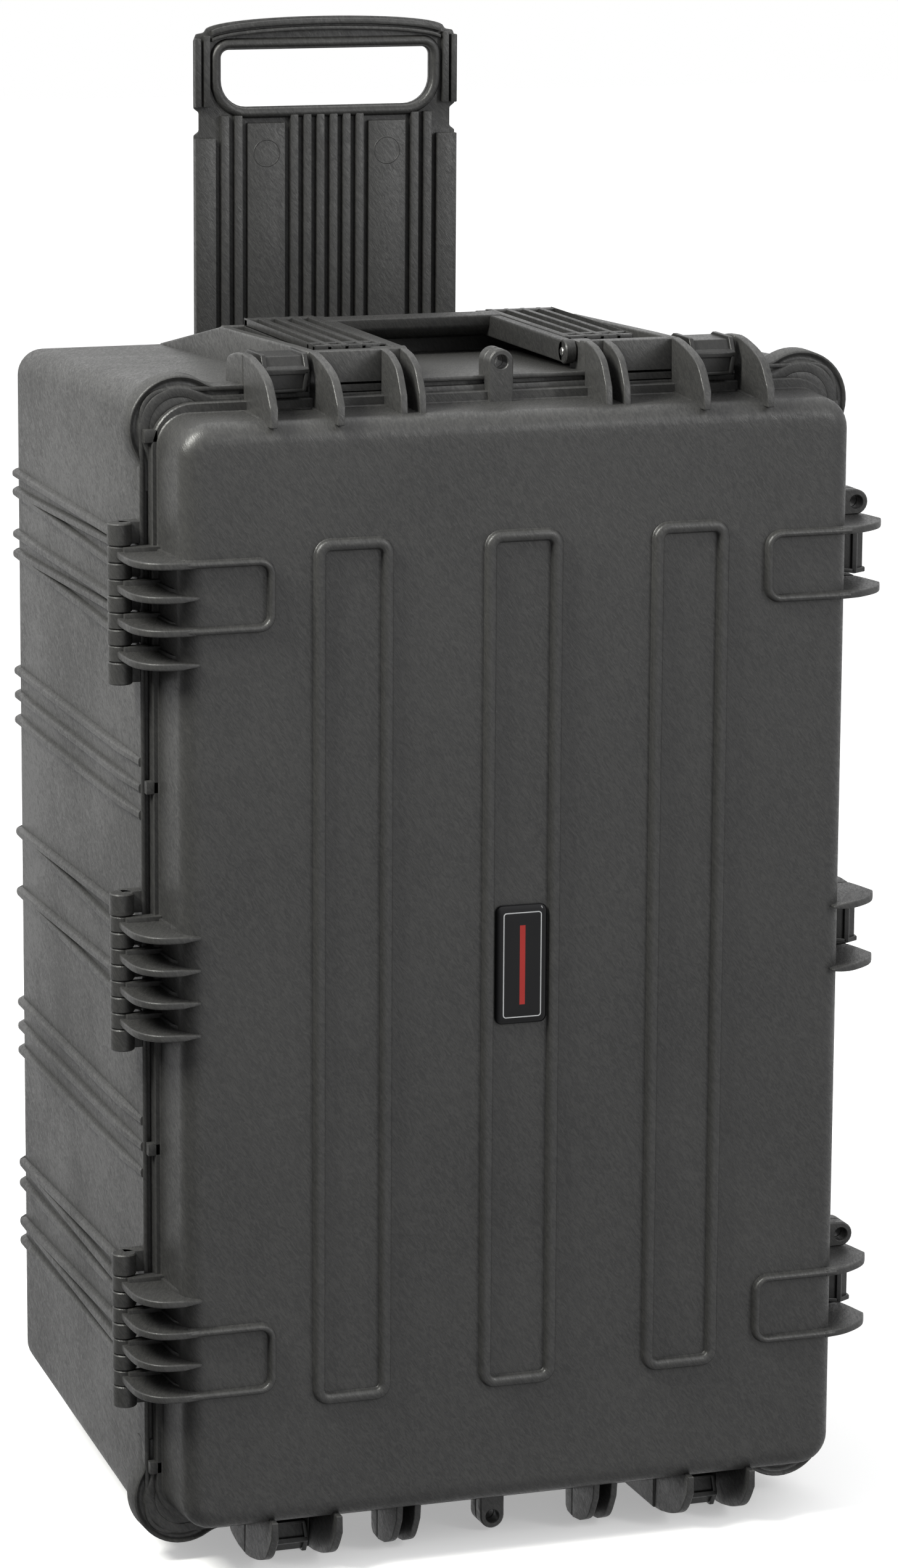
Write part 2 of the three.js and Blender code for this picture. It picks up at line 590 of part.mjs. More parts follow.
function carryHandle() {
  const { in: inner, out, back, front, top, low } = ARM;
  const rows = [];
  for (const sign of [-1, 1]) {
    const pad = [sign * inner, sign * out].sort((a, b) => a - b);
    rows.push(box(pad[0], pad[1], front, back, low, top));
    const plate = [sign * (inner - 8), sign * inner].sort((a, b) => a - b);
    rows.push(box(plate[0], plate[1], HANDLE_AXIS.y, back, low, top));
    rows.push(bar('x', top - HANDLE_AXIS.z, plate[0], plate[1], handlePinCentre(), 20));
  }
  const grip = [[back - 34, top], [back, top], [back, low], [back - 12, low - 1], [back - 26, low + 3],
    [back - 33, low + 9]];
  rows.push(solid(extrude(polygon(grip), 'x', -inner, inner)));
  let body = join(rows);
  for (const sign of [-1, 1]) {
    for (let i = 0; i < 4; i += 1) {
      const x = sign * (inner + 6 + i * 12.5);
      const cut = [x, x + sign * 8].sort((a, b) => a - b);
      body = body.subtract(box(cut[0], cut[1], front + 5, back - 8, top - 4, top + 1));
    }
    body = body.subtract(bar('x', HANDLE_PIN_R + CLEAR, ...handlePinSpan(sign, 1), handlePinCentre(), 10));
  }
  return body;
}

// ---- Pull handle ----
function pullHandle() {
  const { half, y0, y1, low, shoulder, crest } = PANEL;
  const shape = new THREE.Shape();
  shape.moveTo(-half, low);
  shape.lineTo(half, low);
  shape.lineTo(half, NOTCH.low);
  shape.lineTo(half - NOTCH.deep, NOTCH.low + 4);
  shape.lineTo(half - NOTCH.deep, NOTCH.high - 4);
  shape.lineTo(half, NOTCH.high);
  shape.lineTo(half, shoulder - 6);
  shape.quadraticCurveTo(half, shoulder, half - 8, shoulder);
  shape.quadraticCurveTo(0, 2 * crest - shoulder, 8 - half, shoulder);
  shape.quadraticCurveTo(-half, shoulder, -half, shoulder - 6);
  shape.lineTo(-half, NOTCH.high);
  shape.lineTo(NOTCH.deep - half, NOTCH.high - 4);
  shape.lineTo(NOTCH.deep - half, NOTCH.low + 4);
  shape.lineTo(-half, NOTCH.low);
  const middle = (WINDOW.low + WINDOW.high) / 2;
  shape.holes.push(roundedRect(0, middle, WINDOW.half, (WINDOW.high - WINDOW.low) / 2, 13));
  let body = solid(extrude(shape, 'y', y0, y1, 0, 6));
  for (const x of GROOVE_X.flatMap((g) => (g ? [-g, g] : [0]))) {
    body = body.subtract(
      box(x - GROOVE_HALF, x + GROOVE_HALF, y0 - 1, y0 + GROOVE_CUT, low + 12, NOTCH.low - 2));
  }
  return body;
}

function trackCover() {
  const { half, y1, low, high, floor } = TRACK;
  const shell = roundedRect(0, (BASE_BACK_Y + SEAM + y1) / 2, half, (y1 - BASE_BACK_Y - SEAM) / 2, 4);
  const body = solid(extrude(shell, 'z', low, high, 0, 3));
  const channel = PANEL.half + TRACK.gap;
  return body.subtract(box(-channel, channel, PANEL.y0 - 1, PANEL.y1 + 1, low + floor, high + 1));
}

// ---- Wheels ----
function turned(points, x, y, z, segments = 24) {
  const geometry = new THREE.LatheGeometry(points.map(([r, a]) => new THREE.Vector2(r, a)), segments);
  geometry.rotateZ(-Math.PI / 2);
  geometry.translate(x, y, z);
  return solid(geometry);
}

function wheelTyre(x) {
  const { r, half, hub, y } = WHEEL;
  const inner = hub + CLEAR;
  return turned([[inner, -half + 1], [r - 3, -half], [r, -half + 3], [r, half - 3], [r - 3, half],
    [inner, half - 1], [inner, -half + 1]], x, y, r);
}

function wheelHub(x) {
  const { r, half, hub, axle, y } = WHEEL;
  const bore = axle + CLEAR;
  return turned([[bore, -half], [11, -half], [13, -half + 6], [hub, -half + 2], [hub, half - 2],
    [13, half - 6], [11, half], [bore, half], [bore, -half]], x, y, r, 18);
}

// ---- Assembly ----
piece('base_shell', base(), SHELL);
piece('lid_shell', lid(), SHELL);

const gasket = rimRing({ x: GROOVE_OUTER.x - CLEAR, z: GROOVE_OUTER.z - CLEAR }, 26);
gasket.holes.push(rimRing({ x: GROOVE_INNER.x + CLEAR, z: GROOVE_INNER.z + CLEAR }, 23.5));
piece('rim_gasket', solid(extrude(gasket, 'y', PARTING_Y, PARTING_Y + GROOVE_DEPTH - CLEAR)), RUBBER);

const badge = roundedRect(0, STADIUM.z, 19, 42.5, 5);
piece('badge_plate', solid(extrude(badge, 'y', LID_FRONT_Y - 4.5, LID_FRONT_Y - CLEAR, 1, 3, 1)), GLOSS);

HINGE_Z.forEach((z, i) => {
  const pin = bar('z', HINGE_PIN_R, z - BARREL_HALF + 0.5, z + BARREL_HALF - 0.5, [HINGE_X, HINGE_Y], 10);
  piece(`hinge_pin_${['low', 'middle', 'top'][i]}`, pin, STEEL);
});

for (const place of LATCHES) {
  piece(`latch_${place.name}`, latch(place), BLACK);
  piece(`latch_pin_${place.name}`, latchBar(place.side, place.s, place.half + 1.8, LATCH_PIN_R), STEEL);
}

piece('carry_handle', carryHandle(), SHELL);
piece('carry_pin_left', bar('x', HANDLE_PIN_R, ...handlePinSpan(-1, 0), handlePinCentre(), 10), STEEL);
piece('carry_pin_right', bar('x', HANDLE_PIN_R, ...handlePinSpan(1, 0), handlePinCentre(), 10), STEEL);
piece('pull_handle', pullHandle(), SHELL);
piece('track_cover', trackCover(), SHELL);

for (const [name, sign] of [['left', -1], ['right', 1]]) {
  const x = sign * WHEEL.x;
  piece(`wheel_tyre_${name}`, wheelTyre(x), RUBBER);
  piece(`wheel_hub_${name}`, wheelHub(x), BLACK);
  const reach = WELL_HALF + 2 * CHEEK_HALF - 1;
  piece(`wheel_axle_${name}`, bar('x', WHEEL.axle, x - reach, x + reach, [WHEEL.y, WHEEL.r], 12), STEEL);
}

export default root;
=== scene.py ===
"""Hard equipment case on wheels, standing on end with its pull handle drawn out.

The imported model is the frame: +X is the latch side, -X the hinge side, -Y the lid, +Z up.
Sizes here are in millimetres and become metres where a mesh is made.
"""
from math import atan2, cos, degrees, pi, radians, sin, sqrt

import bmesh
import bpy
from mathutils import Matrix, Vector


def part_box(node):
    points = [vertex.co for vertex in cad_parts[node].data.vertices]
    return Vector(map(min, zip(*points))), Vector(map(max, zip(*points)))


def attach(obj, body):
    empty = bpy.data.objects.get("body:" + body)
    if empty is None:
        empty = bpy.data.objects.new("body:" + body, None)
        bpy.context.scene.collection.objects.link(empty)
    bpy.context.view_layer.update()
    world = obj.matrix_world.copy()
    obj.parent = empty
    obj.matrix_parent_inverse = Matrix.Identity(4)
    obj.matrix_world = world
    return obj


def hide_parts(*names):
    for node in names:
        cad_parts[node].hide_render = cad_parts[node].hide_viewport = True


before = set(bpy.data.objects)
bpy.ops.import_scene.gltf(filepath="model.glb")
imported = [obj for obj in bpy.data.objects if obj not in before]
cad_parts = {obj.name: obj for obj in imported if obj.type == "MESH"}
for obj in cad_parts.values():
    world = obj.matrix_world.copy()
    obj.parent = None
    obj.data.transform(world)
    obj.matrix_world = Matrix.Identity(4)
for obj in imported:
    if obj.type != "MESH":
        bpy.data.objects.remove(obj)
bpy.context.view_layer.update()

MM = 0.001


# ---- Places read from the frame, in millimetres ----
def span(node):
    low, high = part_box(node)
    return [c / MM for c in low], [c / MM for c in high]


def middle(node):
    low, high = span(node)
    return [(a + b) / 2 for a, b in zip(low, high)]


GAP = 0.35
SEAM = 0.4
GASKET = span("rim_gasket")
BADGE = span("badge_plate")
TRACK = span("track_cover")
PANEL = span("pull_handle")
PARTING_Y = GASKET[0][1]
MID_Z = (GASKET[0][2] + GASKET[1][2]) / 2
FRONT_Y = BADGE[1][1] + GAP
REAR_Y = TRACK[0][1] - SEAM
HINGES = [middle("hinge_pin_" + level) for level in ("low", "middle", "top")]
PIVOT_OUT = 10
RIM_X = middle("latch_pin_side_low")[0] - PIVOT_OUT
RIM_Z = middle("latch_pin_top_left")[2] - PIVOT_OUT - MID_Z
CARRY_PIN = middle("carry_pin_left")

# ---- Shell sizes ----
LID_FRONT = (244, 390)
LID_SEAM = (246.5, 391.5)
LID_FLANGE = (250.5, 398.5)
FLANGE_FRONT = -170
LID_WALL_OUT = {"left": -10.5, "right": -10.5, "top": -18, "bottom": -18}
BASE_SEAM = (RIM_X, RIM_Z)
BASE_REAR = (246, 391)
WALL = 4.5
FLANGE_CORNER = 30
LID_CORNER = 22
BASE_CORNER = 19
LID_EDGE = 14
BASE_EDGE = 12
HOUSING_HALF = 23
WHEEL_ROOM_HALF = 18
RIM_DEPTH = 14
RIM_INNER = (241, 390.5)
GROOVE_INNER = (244.5, 394)
GROOVE_OUTER = (248.7, 398.2)
GROOVE_DEPTH = 3

# ---- Lid ribs ----
STADIUM_STEP = 123.2
STADIUM = {"half_x": 57.6 / 2, "half_z": 307, "width": 9, "corner": 12, "high": 5}
STADIUM_Z = middle("badge_plate")[2]
LOOP_END_X = 182
LOOP_MOUTH_X = 243
RIDGE = 5
CREST_Y = -227.5
LATCH_FIN_HALF = 22.9
LATCH_FIN_END_HALF = 23.7
SMALL_FIN_X = (68, 81.5)
FIN_PITCH = 22.9
KNUCKLE_R = 8.5
LID_KNUCKLE_HALF = 5.6
BASE_KNUCKLE_HALF = 5.5
END_KNUCKLE = (40.3, 55.7)

# ---- Base furniture ----
FLANK_X = 133
FLANK_HALF = 4
WELL_FRONT_Y = -151
WELL_BACK_Y = 49
BUMPER = {"x": 229, "z": 381, "r": 36, "back": -143, "fillet": 20}
PLAIN_RIBS = [137.4, 183, 287.5, 306.4, 325, 542.7, 561.6, 580, 683.5, 729]
RIB = {"front": -161, "latch_front": -112, "half": 3.6, "high": 4.6}
FAN_HALF = 23.2
GRIP_HALF = 66
WINDOW = {"half": 82, "top_corner": 6, "foot_corner": 20}
FAN_SPREAD = 9
RIM_TABS = [73.6, 306, 563.3, 806.7]
TAB_OUT = 255.3
TAB_HALF = 4.5
LUG = {"half": 9, "bore": 4.9, "front": -174, "back": -152}
LUGS = [("top", 0, 10), ("bottom", 0, 10), ("right", 738.5, 12), ("right", 198, 12)]

EDGE_ANGLE = radians(32)


# ---- Mesh helpers ----
AXES = {
    "x": lambda a, b, h: (h, a, b),
    "y": lambda a, b, h: (a, h, b),
    "z": lambda a, b, h: (a, b, h),
}


def smooth(points, steps=6):
    """A Catmull-Rom curve through the points."""
    ends = [points[0], *points, points[-1]]
    out = []
    for i in range(1, len(ends) - 2):
        p0, p1, p2, p3 = (Vector(p) for p in ends[i - 1:i + 3])
        for step in range(steps):
            t = step / steps
            out.append(tuple(0.5 * (2 * p1 + (p2 - p0) * t + (2 * p0 - 5 * p1 + 4 * p2 - p3) * t * t
                                    + (3 * p1 - p0 - 3 * p2 + p3) * t ** 3)))
    out.append(tuple(points[-1]))
    return out


def arc(centre, radius, start, end, steps):
    """Points on a circle between two angles in degrees, both ends included."""
    angles = [radians(start + (end - start) * i / steps) for i in range(steps + 1)]
    return [(centre[0] + radius * cos(a), centre[1] + radius * sin(a)) for a in angles]


def round_edges(part, width, steps, angle=EDGE_ANGLE):
    edges = [e for e in part.edges if e.is_manifold and e.calc_face_angle(0) > angle]
    bmesh.ops.bevel(part, geom=edges, offset=width, segments=steps, profile=0.6,
                    affect="EDGES", clamp_overlap=True)


def prism(outline, axis, low, high, bevel=1.0, steps=2):
    """A flat outline drawn across one axis and extruded along it, with its edges rounded."""
    part = bmesh.new()
    place = AXES[axis]
    bottom = [part.verts.new(place(a, b, low)) for a, b in outline]
    top = [part.verts.new(place(a, b, high)) for a, b in outline]
    part.faces.new(bottom[::-1])
    part.faces.new(top)
    for i in range(len(outline)):
        j = (i + 1) % len(outline)
        part.faces.new((bottom[i], bottom[j], top[j], top[i]))
    bmesh.ops.recalc_face_normals(part, faces=part.faces)
    if bevel:
        round_edges(part, bevel, steps)
    return part


def block(x, y, z, bevel=0.8, steps=2):
    """A rounded block between pairs of X, Y and Z."""
    (x0, x1), (y0, y1), (z0, z1) = sorted(x), sorted(y), sorted(z)
    return prism([(x0, y0), (x1, y0), (x1, y1), (x0, y1)], "z", z0, z1, bevel, steps)


def loft(rings, closed=False):
    """A skin through rings of points; capped at both ends, or closed on itself."""
    part = bmesh.new()
    rows = [[part.verts.new(p) for p in row] for row in rings]
    count = len(rows[0])
    pairs = list(zip(rows, rows[1:]))
    if closed:
        pairs.append((rows[-1], rows[0]))
    for a, b in pairs:
        for i in range(count):
            j = (i + 1) % count
            part.faces.new((a[i], a[j], b[j], b[i]))
    if not closed:
        part.faces.new(rows[0][::-1])
        part.faces.new(rows[-1])
    bmesh.ops.recalc_face_normals(part, faces=part.faces)
    return part


def turned(profile, axis, centre, segments=48, start=0, shape=None):
    """A closed profile of (radius, height) turned about an axis. shape may vary the radius."""
    place = AXES[axis]
    rings = []
    for i in range(segments):
        angle = radians(start) + 2 * pi * i / segments
        row = []
        for r, h in profile:
            radius = shape(r, h, angle) if shape else r
            a, b = centre[0] + radius * cos(angle), centre[1] + radius * sin(angle)
            row.append(place(a, b, h))
        rings.append(row)
    return loft(rings, closed=True)


def rod(axis, radius, low, high, centre, chamfer=0.5, segments=32):
    """A round bar with chamfered ends."""
    place = AXES[axis]
    stations = [(radius - chamfer, low), (radius, low + chamfer), (radius, high - chamfer),
                (radius - chamfer, high)]
    rings = [[place(centre[0] + r * cos(2 * pi * i / segments), centre[1] + r * sin(2 * pi * i / segments), h)
              for i in range(segments)] for r, h in stations]
    return loft(rings)


def sweep(path, section, up, closed=True):
    """A section of (across, up) carried along a flat path whose plane has the given normal."""
    up = Vector(up)
    points = [Vector(p) for p in path]
    count = len(points)
    rings = []
    for i, point in enumerate(points):
        before = points[i - 1] if closed or i else points[0]
        after = points[(i + 1) % count] if closed or i < count - 1 else points[-1]
        ahead = (after - point).normalized() if (after - point).length else (point - before).normalized()
        back = (point - before).normalized() if (point - before).length else ahead
        side = (ahead + back).normalized().cross(up)
        mitre = 1 / max(0.5, side.dot(ahead.cross(up)))
        rings.append([tuple(point + side * (a * mitre) + up * b) for a, b in section])
    return loft(rings, closed=closed)


def gather(parts):
    """All the parts as one mesh."""
    whole = bmesh.new()
    for part in parts:
        carrier = bpy.data.meshes.new("carrier")
        part.to_mesh(carrier)
        whole.from_mesh(carrier)
        bpy.data.meshes.remove(carrier)
        part.free()
    return whole


def piece(name, parts, material, body, nodes=(), angle=38):
    """Makes one visible object out of closed parts given in millimetres."""
    whole = gather(parts)
    bmesh.ops.scale(whole, vec=(MM, MM, MM), verts=whole.verts)
    mesh = bpy.data.meshes.new(name)
    whole.to_mesh(mesh)
    whole.free()
    mesh.polygons.foreach_set("use_smooth", [True] * len(mesh.polygons))
    mesh.set_sharp_from_angle(angle=radians(angle))
    thing = bpy.data.objects.new(name, mesh)
    bpy.context.scene.collection.objects.link(thing)
    mesh.materials.append(material)
    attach(thing, body)
    if nodes:
        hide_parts(*nodes)
    return thing


def carve(thing, cutters):
    """Cuts closed parts, given in millimetres, out of an object."""
    cutter = gather(cutters)
    bmesh.ops.scale(cutter, vec=(MM, MM, MM), verts=cutter.verts)
    mesh = bpy.data.meshes.new("cutter")
    cutter.to_mesh(mesh)
    cutter.free()
    tool = bpy.data.objects.new("cutter", mesh)
    bpy.context.scene.collection.objects.link(tool)
    cut = thing.modifiers.new("cut", "BOOLEAN")
    cut.operation = "DIFFERENCE"
    cut.solver = "EXACT"
    cut.use_self = True
    cut.object = tool
    bpy.context.view_layer.update()
    done = bpy.data.meshes.new_from_object(thing.evaluated_get(bpy.context.evaluated_depsgraph_get()))
    thing.modifiers.clear()
    thing.data = done
    done.set_sharp_from_angle(angle=radians(38))
    bpy.data.objects.remove(tool)
    bpy.data.meshes.remove(mesh)
    return thing


def ring(half, corner, y, steps=8):
    """A rounded rectangle standing at depth y about the middle of the shell."""
    corner = max(corner, 2)
    points = []
    for quarter, (sx, sz) in enumerate([(1, 1), (-1, 1), (-1, -1), (1, -1)]):
        centre = (sx * (half[0] - corner), MID_Z + sz * (half[1] - corner))
        flat = arc(centre, corner, quarter * 90, quarter * 90 + 90, steps)
        points += [(x, y, z) for x, z in flat]
    return points


def on_side(side, outline, s, thick, bevel=1.6, steps=3, taper=None):
    """An outline of (outward from the rim, depth) standing on one side of the case at s."""
    turn = {
        "right": ("z", lambda o, y: (RIM_X + o, y)),
        "left": ("z", lambda o, y: (-RIM_X - o, y)),
        "top": ("x", lambda o, y: (y, MID_Z + RIM_Z + o)),
        "bottom": ("x", lambda o, y: (y, MID_Z - RIM_Z - o)),
    }
    axis, place = turn[side]
    part = prism([place(o, y) for o, y in outline], axis, s - thick / 2, s + thick / 2, bevel, steps)
    if taper:
        start, end, keep = taper
        for v in part.verts:
            out = (abs(v.co.x) - RIM_X) if axis == "z" else (abs(v.co.z - MID_Z) - RIM_Z)
            share = min(max((start - out) / (start - end), 0), 1)
            scale = 1 + (keep - 1) * share * share
            if axis == "z":
                v.co.z = s + (v.co.z - s) * scale
            else:
                v.co.x = s + (v.co.x - s) * scale
    return part


# ---- Materials ----
class Nodes:
    """A short way to write a node tree."""

    def __init__(self, name, sky=False):
        self.material = bpy.data.worlds.new(name) if sky else bpy.data.materials.new(name)
        self.material.use_nodes = True
        self.tree = self.material.node_tree
        self.shader = self.tree.nodes["Background" if sky else "Principled BSDF"]
        self.place = self.add("ShaderNodeTexCoord").outputs["Generated" if sky else "Object"]

    def add(self, kind, inputs=None, **settings):
        node = self.tree.nodes.new(kind)
        for key, value in settings.items():
            setattr(node, key, value)
        for key, value in (inputs or {}).items():
            if isinstance(value, bpy.types.NodeSocket):
                self.tree.links.new(value, node.inputs[key])
            else:
                node.inputs[key].default_value = value
        return node

    def noise(self, scale, detail=4, rough=0.6, turn=None, stretch=None, warp=0.0):
        where = self.place
        if turn or stretch:
            spun = self.add("ShaderNodeMapping", {"Vector": where, "Rotation": turn or (0, 0, 0)})
            drawn = self.add("ShaderNodeMapping", {"Vector": spun.outputs[0], "Scale": stretch or (1, 1, 1)})
            where = drawn.outputs[0]
        node = self.add("ShaderNodeTexNoise", {"Vector": where, "Scale": scale, "Detail": detail,
                                               "Roughness": rough, "Distortion": warp})
        return node.outputs[0]

    def ramp(self, value, low, high, start, end):
        """Maps value from start..end to low..high, held at both ends."""
        node = self.add("ShaderNodeMapRange", {"Value": value, "From Min": start, "From Max": end,
                                               "To Min": low, "To Max": high})
        return node.outputs[0]

    def blend(self, factor, a, b):
        node = self.add("ShaderNodeMix", data_type="RGBA")
        for socket, value in ((node.inputs[0], factor), (node.inputs[6], a), (node.inputs[7], b)):
            if isinstance(value, bpy.types.NodeSocket):
                self.tree.links.new(value, socket)
            else:
                socket.default_value = value
        return node.outputs[2]

    def maths(self, operation, a, b):
        node = self.add("ShaderNodeMath", {0: a, 1: b}, operation=operation)
        return node.outputs[0]

    def bump(self, height, strength, distance, before=None):
        inputs = {"Height": height, "Strength": strength, "Distance": distance}
        if before:
            inputs["Normal"] = before
        return self.add("ShaderNodeBump", inputs).outputs[0]

    def finish(self, colour, roughness, normal):
        for name, value in (("Base Color", colour), ("Roughness", roughness), ("Normal", normal)):
            self.tree.links.new(value, self.shader.inputs[name])
        return self.material


def grey(value, warm=0.0):
    return (value * (1 + warm), value * (1 + warm * 0.6), value * (1 - warm), 1)


def moulded(name, dark, light, rough=(0.42, 0.6), grain=1.0):
    """Moulded plastic with the swirled, streaky grain of its filler."""
    n = Nodes(name)
    cloud = n.noise(9, detail=3, rough=0.5)
    streak = n.noise(95, detail=5, rough=0.62, turn=(0.5, 0.35, 0.6), stretch=(6, 1.2, 1.7), warp=1.4)
    speck = n.noise(900, detail=2, rough=0.5)
    tone = n.maths("ADD", n.maths("MULTIPLY", n.ramp(streak, 0, 1, 0.4, 0.62), 0.75),
                   n.maths("MULTIPLY", n.ramp(cloud, 0, 1, 0.35, 0.68), 0.25))
    colour = n.blend(tone, grey(dark), grey(light, 0.02))
    fleck = n.ramp(speck, 0, 0.35, 0.66, 0.76)
    colour = n.blend(fleck, colour, grey(light * 1.8, 0.03))
    roughness = n.ramp(n.maths("ADD", n.maths("MULTIPLY", streak, 0.6), n.maths("MULTIPLY", cloud, 0.4)),
                       rough[1], rough[0], 0.4, 0.58)
    scratch = n.noise(150, detail=4, rough=0.65, turn=(0.5, 0.35, 0.6), stretch=(6, 1, 1.2), warp=0.9)
    normal = n.bump(scratch, 0.36 * grain, 0.0006)
    normal = n.bump(speck, 0.16 * grain, 0.0002, normal)
    n.shader.inputs["Specular IOR Level"].default_value = 0.5
    return n.finish(colour, roughness, normal)


def rubber(name, dark, light):
    n = Nodes(name)
    cloud = n.noise(30, detail=4)
    dust = n.noise(420, detail=3, rough=0.7)
    colour = n.blend(n.ramp(cloud, 0, 1, 0.35, 0.7), grey(dark), grey(light, 0.03))
    roughness = n.ramp(dust, 0.7, 0.92, 0.3, 0.7)
    return n.finish(colour, roughness, n.bump(dust, 0.3, 0.0003))


def steel(name):
    n = Nodes(name)
    brushed = n.noise(140, detail=3, turn=(0, 0, 0), stretch=(1, 1, 12))
    cloud = n.noise(60, detail=3)
    colour = n.blend(n.ramp(cloud, 0, 1, 0.35, 0.65), grey(0.42), grey(0.6, 0.02))
    n.shader.inputs["Metallic"].default_value = 1
    return n.finish(colour, n.ramp(brushed, 0.22, 0.42, 0.3, 0.7), n.bump(brushed, 0.1, 0.0002))


def resin(name, colour_value):
    """Clear domed resin over a flat printed colour."""
    n = Nodes(name)
    cloud = n.noise(25, detail=2)
    ripple = n.noise(60, detail=1)
    dark = [c * 0.8 for c in colour_value[:3]] + [1]
    n.shader.inputs["Specular IOR Level"].default_value = 0.1
    n.shader.inputs["Coat Weight"].default_value = 0.45
    n.shader.inputs["Coat Roughness"].default_value = 0.03
    colour = n.blend(cloud, dark, colour_value)
    return n.finish(colour, n.ramp(cloud, 0.12, 0.2, 0.3, 0.7), n.bump(ripple, 0.04, 0.0004))


SHELL = moulded("shell_polypropylene", 0.026, 0.052, rough=(0.32, 0.5))
HANDLE = moulded("handle_polypropylene", 0.012, 0.034, rough=(0.32, 0.5))
BLACK = moulded("latch_nylon", 0.01, 0.022, rough=(0.3, 0.44), grain=0.6)
TYRE = rubber("tyre_rubber", 0.012, 0.03)
SEAL = rubber("seal_rubber", 0.008, 0.02)
STEEL = steel("pin_steel")
BADGE_BLACK = resin("badge_resin", (0.006, 0.006, 0.007, 1))
BADGE_LINE = resin("badge_line", (0.55, 0.56, 0.57, 1))
BADGE_STRIPE = resin("badge_stripe", (0.42, 0.03, 0.025, 1))


# ---- Outlines shared by the fins: outward from the rim, depth ----
LATCH_FIN = [(-22, PARTING_Y - SEAM), (17, PARTING_Y - SEAM), (20, -176),
             *smooth([(23, -193), (14, -210), (-4, -223), (-22, CREST_Y)]), (-22, -212)]
HINGE_FIN = [(-12, -172), (9, -166), (14, -165), (18.5, -169),
             *smooth([(19, -180), (18.6, -203), (13.5, -217), (4, -225.5), (-11, -228)]),
             (-24, -226), (-24, -212)]
END_FIN = [(-22, PARTING_Y - SEAM), (21.3, PARTING_Y - SEAM),
           *smooth([(20, -175), (15, -196), (7, -213), (-9, -225)]), (-22, -226), (-22, -212)]
SMALL_FIN = [(-21, PARTING_Y - SEAM), (21.3, PARTING_Y - SEAM),
             *smooth([(19, -178), (11, -194), (-6, -205)]), (-21, -207)]
BASE_FIN = [(-3, PARTING_Y), (17, PARTING_Y), *smooth([(18, -148), (15, -131), (9, -126)]), (-3, -124)]
SMALL_BASE_FIN = [(-3, PARTING_Y), (21.3, PARTING_Y), (20.5, -153), (17, -149), (-3, -148)]
BASE_END_FIN = [(-3, PARTING_Y), (21.3, PARTING_Y),
                *smooth([(20.5, -148), (16, -129), (9, -124)]), (-3, -122)]


def side_latches():
    return [middle("latch_pin_side_" + level)[2] for level in ("low", "middle", "top")]


def end_latches():
    return [middle("latch_pin_top_" + hand)[0] for hand in ("left", "right")]


def hinge_fin_heights(centre):
    return [centre + step * FIN_PITCH for step in (1.5, 0.5, -0.5, -1.5)]


# ---- Lid ----
def lid_half(y, inset):
    t = (y - FRONT_Y) / (PARTING_Y - FRONT_Y)
    return [front + t * (seam - front) - inset for front, seam in zip(LID_FRONT, LID_SEAM)]


def lid_ring(y, inset):
    return ring(lid_half(y, inset), LID_CORNER - inset, y)


def lid_skin():
    seam = PARTING_Y - SEAM
    lip = 0.9
    inner = LID_EDGE - WALL
    quarter = [radians(90 * i / 8) for i in range(9)]
    rows = [lid_ring(FRONT_Y + WALL, WALL + inner + 7)]
    rows += [lid_ring(FRONT_Y + WALL + inner * (1 - sin(a)), WALL + inner * (1 - cos(a)))
             for a in reversed(quarter)]
    rows += [lid_ring(seam - lip, WALL), lid_ring(seam, WALL - lip)]
    for inset, y in ((lip, seam), (0, seam - lip), (0, FLANGE_FRONT + lip), (lip, FLANGE_FRONT)):
        rows.append(ring([h - inset for h in LID_FLANGE], FLANGE_CORNER - inset, y))
    rows += [lid_ring(FLANGE_FRONT, -0.8), lid_ring(FLANGE_FRONT - 0.8, 0)]
    rows += [lid_ring(FRONT_Y + LID_EDGE * (1 - sin(a)), LID_EDGE * (1 - cos(a))) for a in quarter]
    rows.append(lid_ring(FRONT_Y, LID_EDGE + 5))
    return loft(rows)


def bead(width, high, foot=1.0):
    """The section of a rounded rib with a thin lip along each foot."""
    half = width / 2
    crown = [(half * 0.86 * cos(radians(a)), high * 0.45 + high * 0.55 * sin(radians(a)))
             for a in range(0, 181, 20)]
    return [(half, -foot), (half, high * 0.1), (half * 0.93, high * 0.18), *crown,
            (-half * 0.93, high * 0.18), (-half, high * 0.1), (-half, -foot)]


def stadium(x):
    inset = STADIUM["width"] / 2
    half_x, half_z = STADIUM["half_x"] - inset, STADIUM["half_z"] - inset
    corner = STADIUM["corner"] - inset
    path = []
    for quarter, (sx, sz) in enumerate([(1, 1), (-1, 1), (-1, -1), (1, -1)]):
        centre = (x + sx * (half_x - corner), STADIUM_Z + sz * (half_z - corner))
        path += [(a, FRONT_Y, b) for a, b in arc(centre, corner, quarter * 90, quarter * 90 + 90, 8)]
    return sweep(path, bead(STADIUM["width"], STADIUM["high"]), (0, -1, 0))


def loop(sign, high, low):
    """The U-shaped rib that joins two fins on the front panel."""
    r = 9
    end = LOOP_END_X
    path = [(LOOP_MOUTH_X, high)]
    path += arc((end + r, high - r), r, 90, 180, 8)
    path += arc((end + r, low + r), r, 180, 270, 8)
    path += [(LOOP_MOUTH_X, low)]
    section = bead(RIDGE + 0.8, FRONT_Y - CREST_Y)
    return sweep([(sign * x, FRONT_Y, z) for x, z in path], section, (0, -1, 0), closed=False)


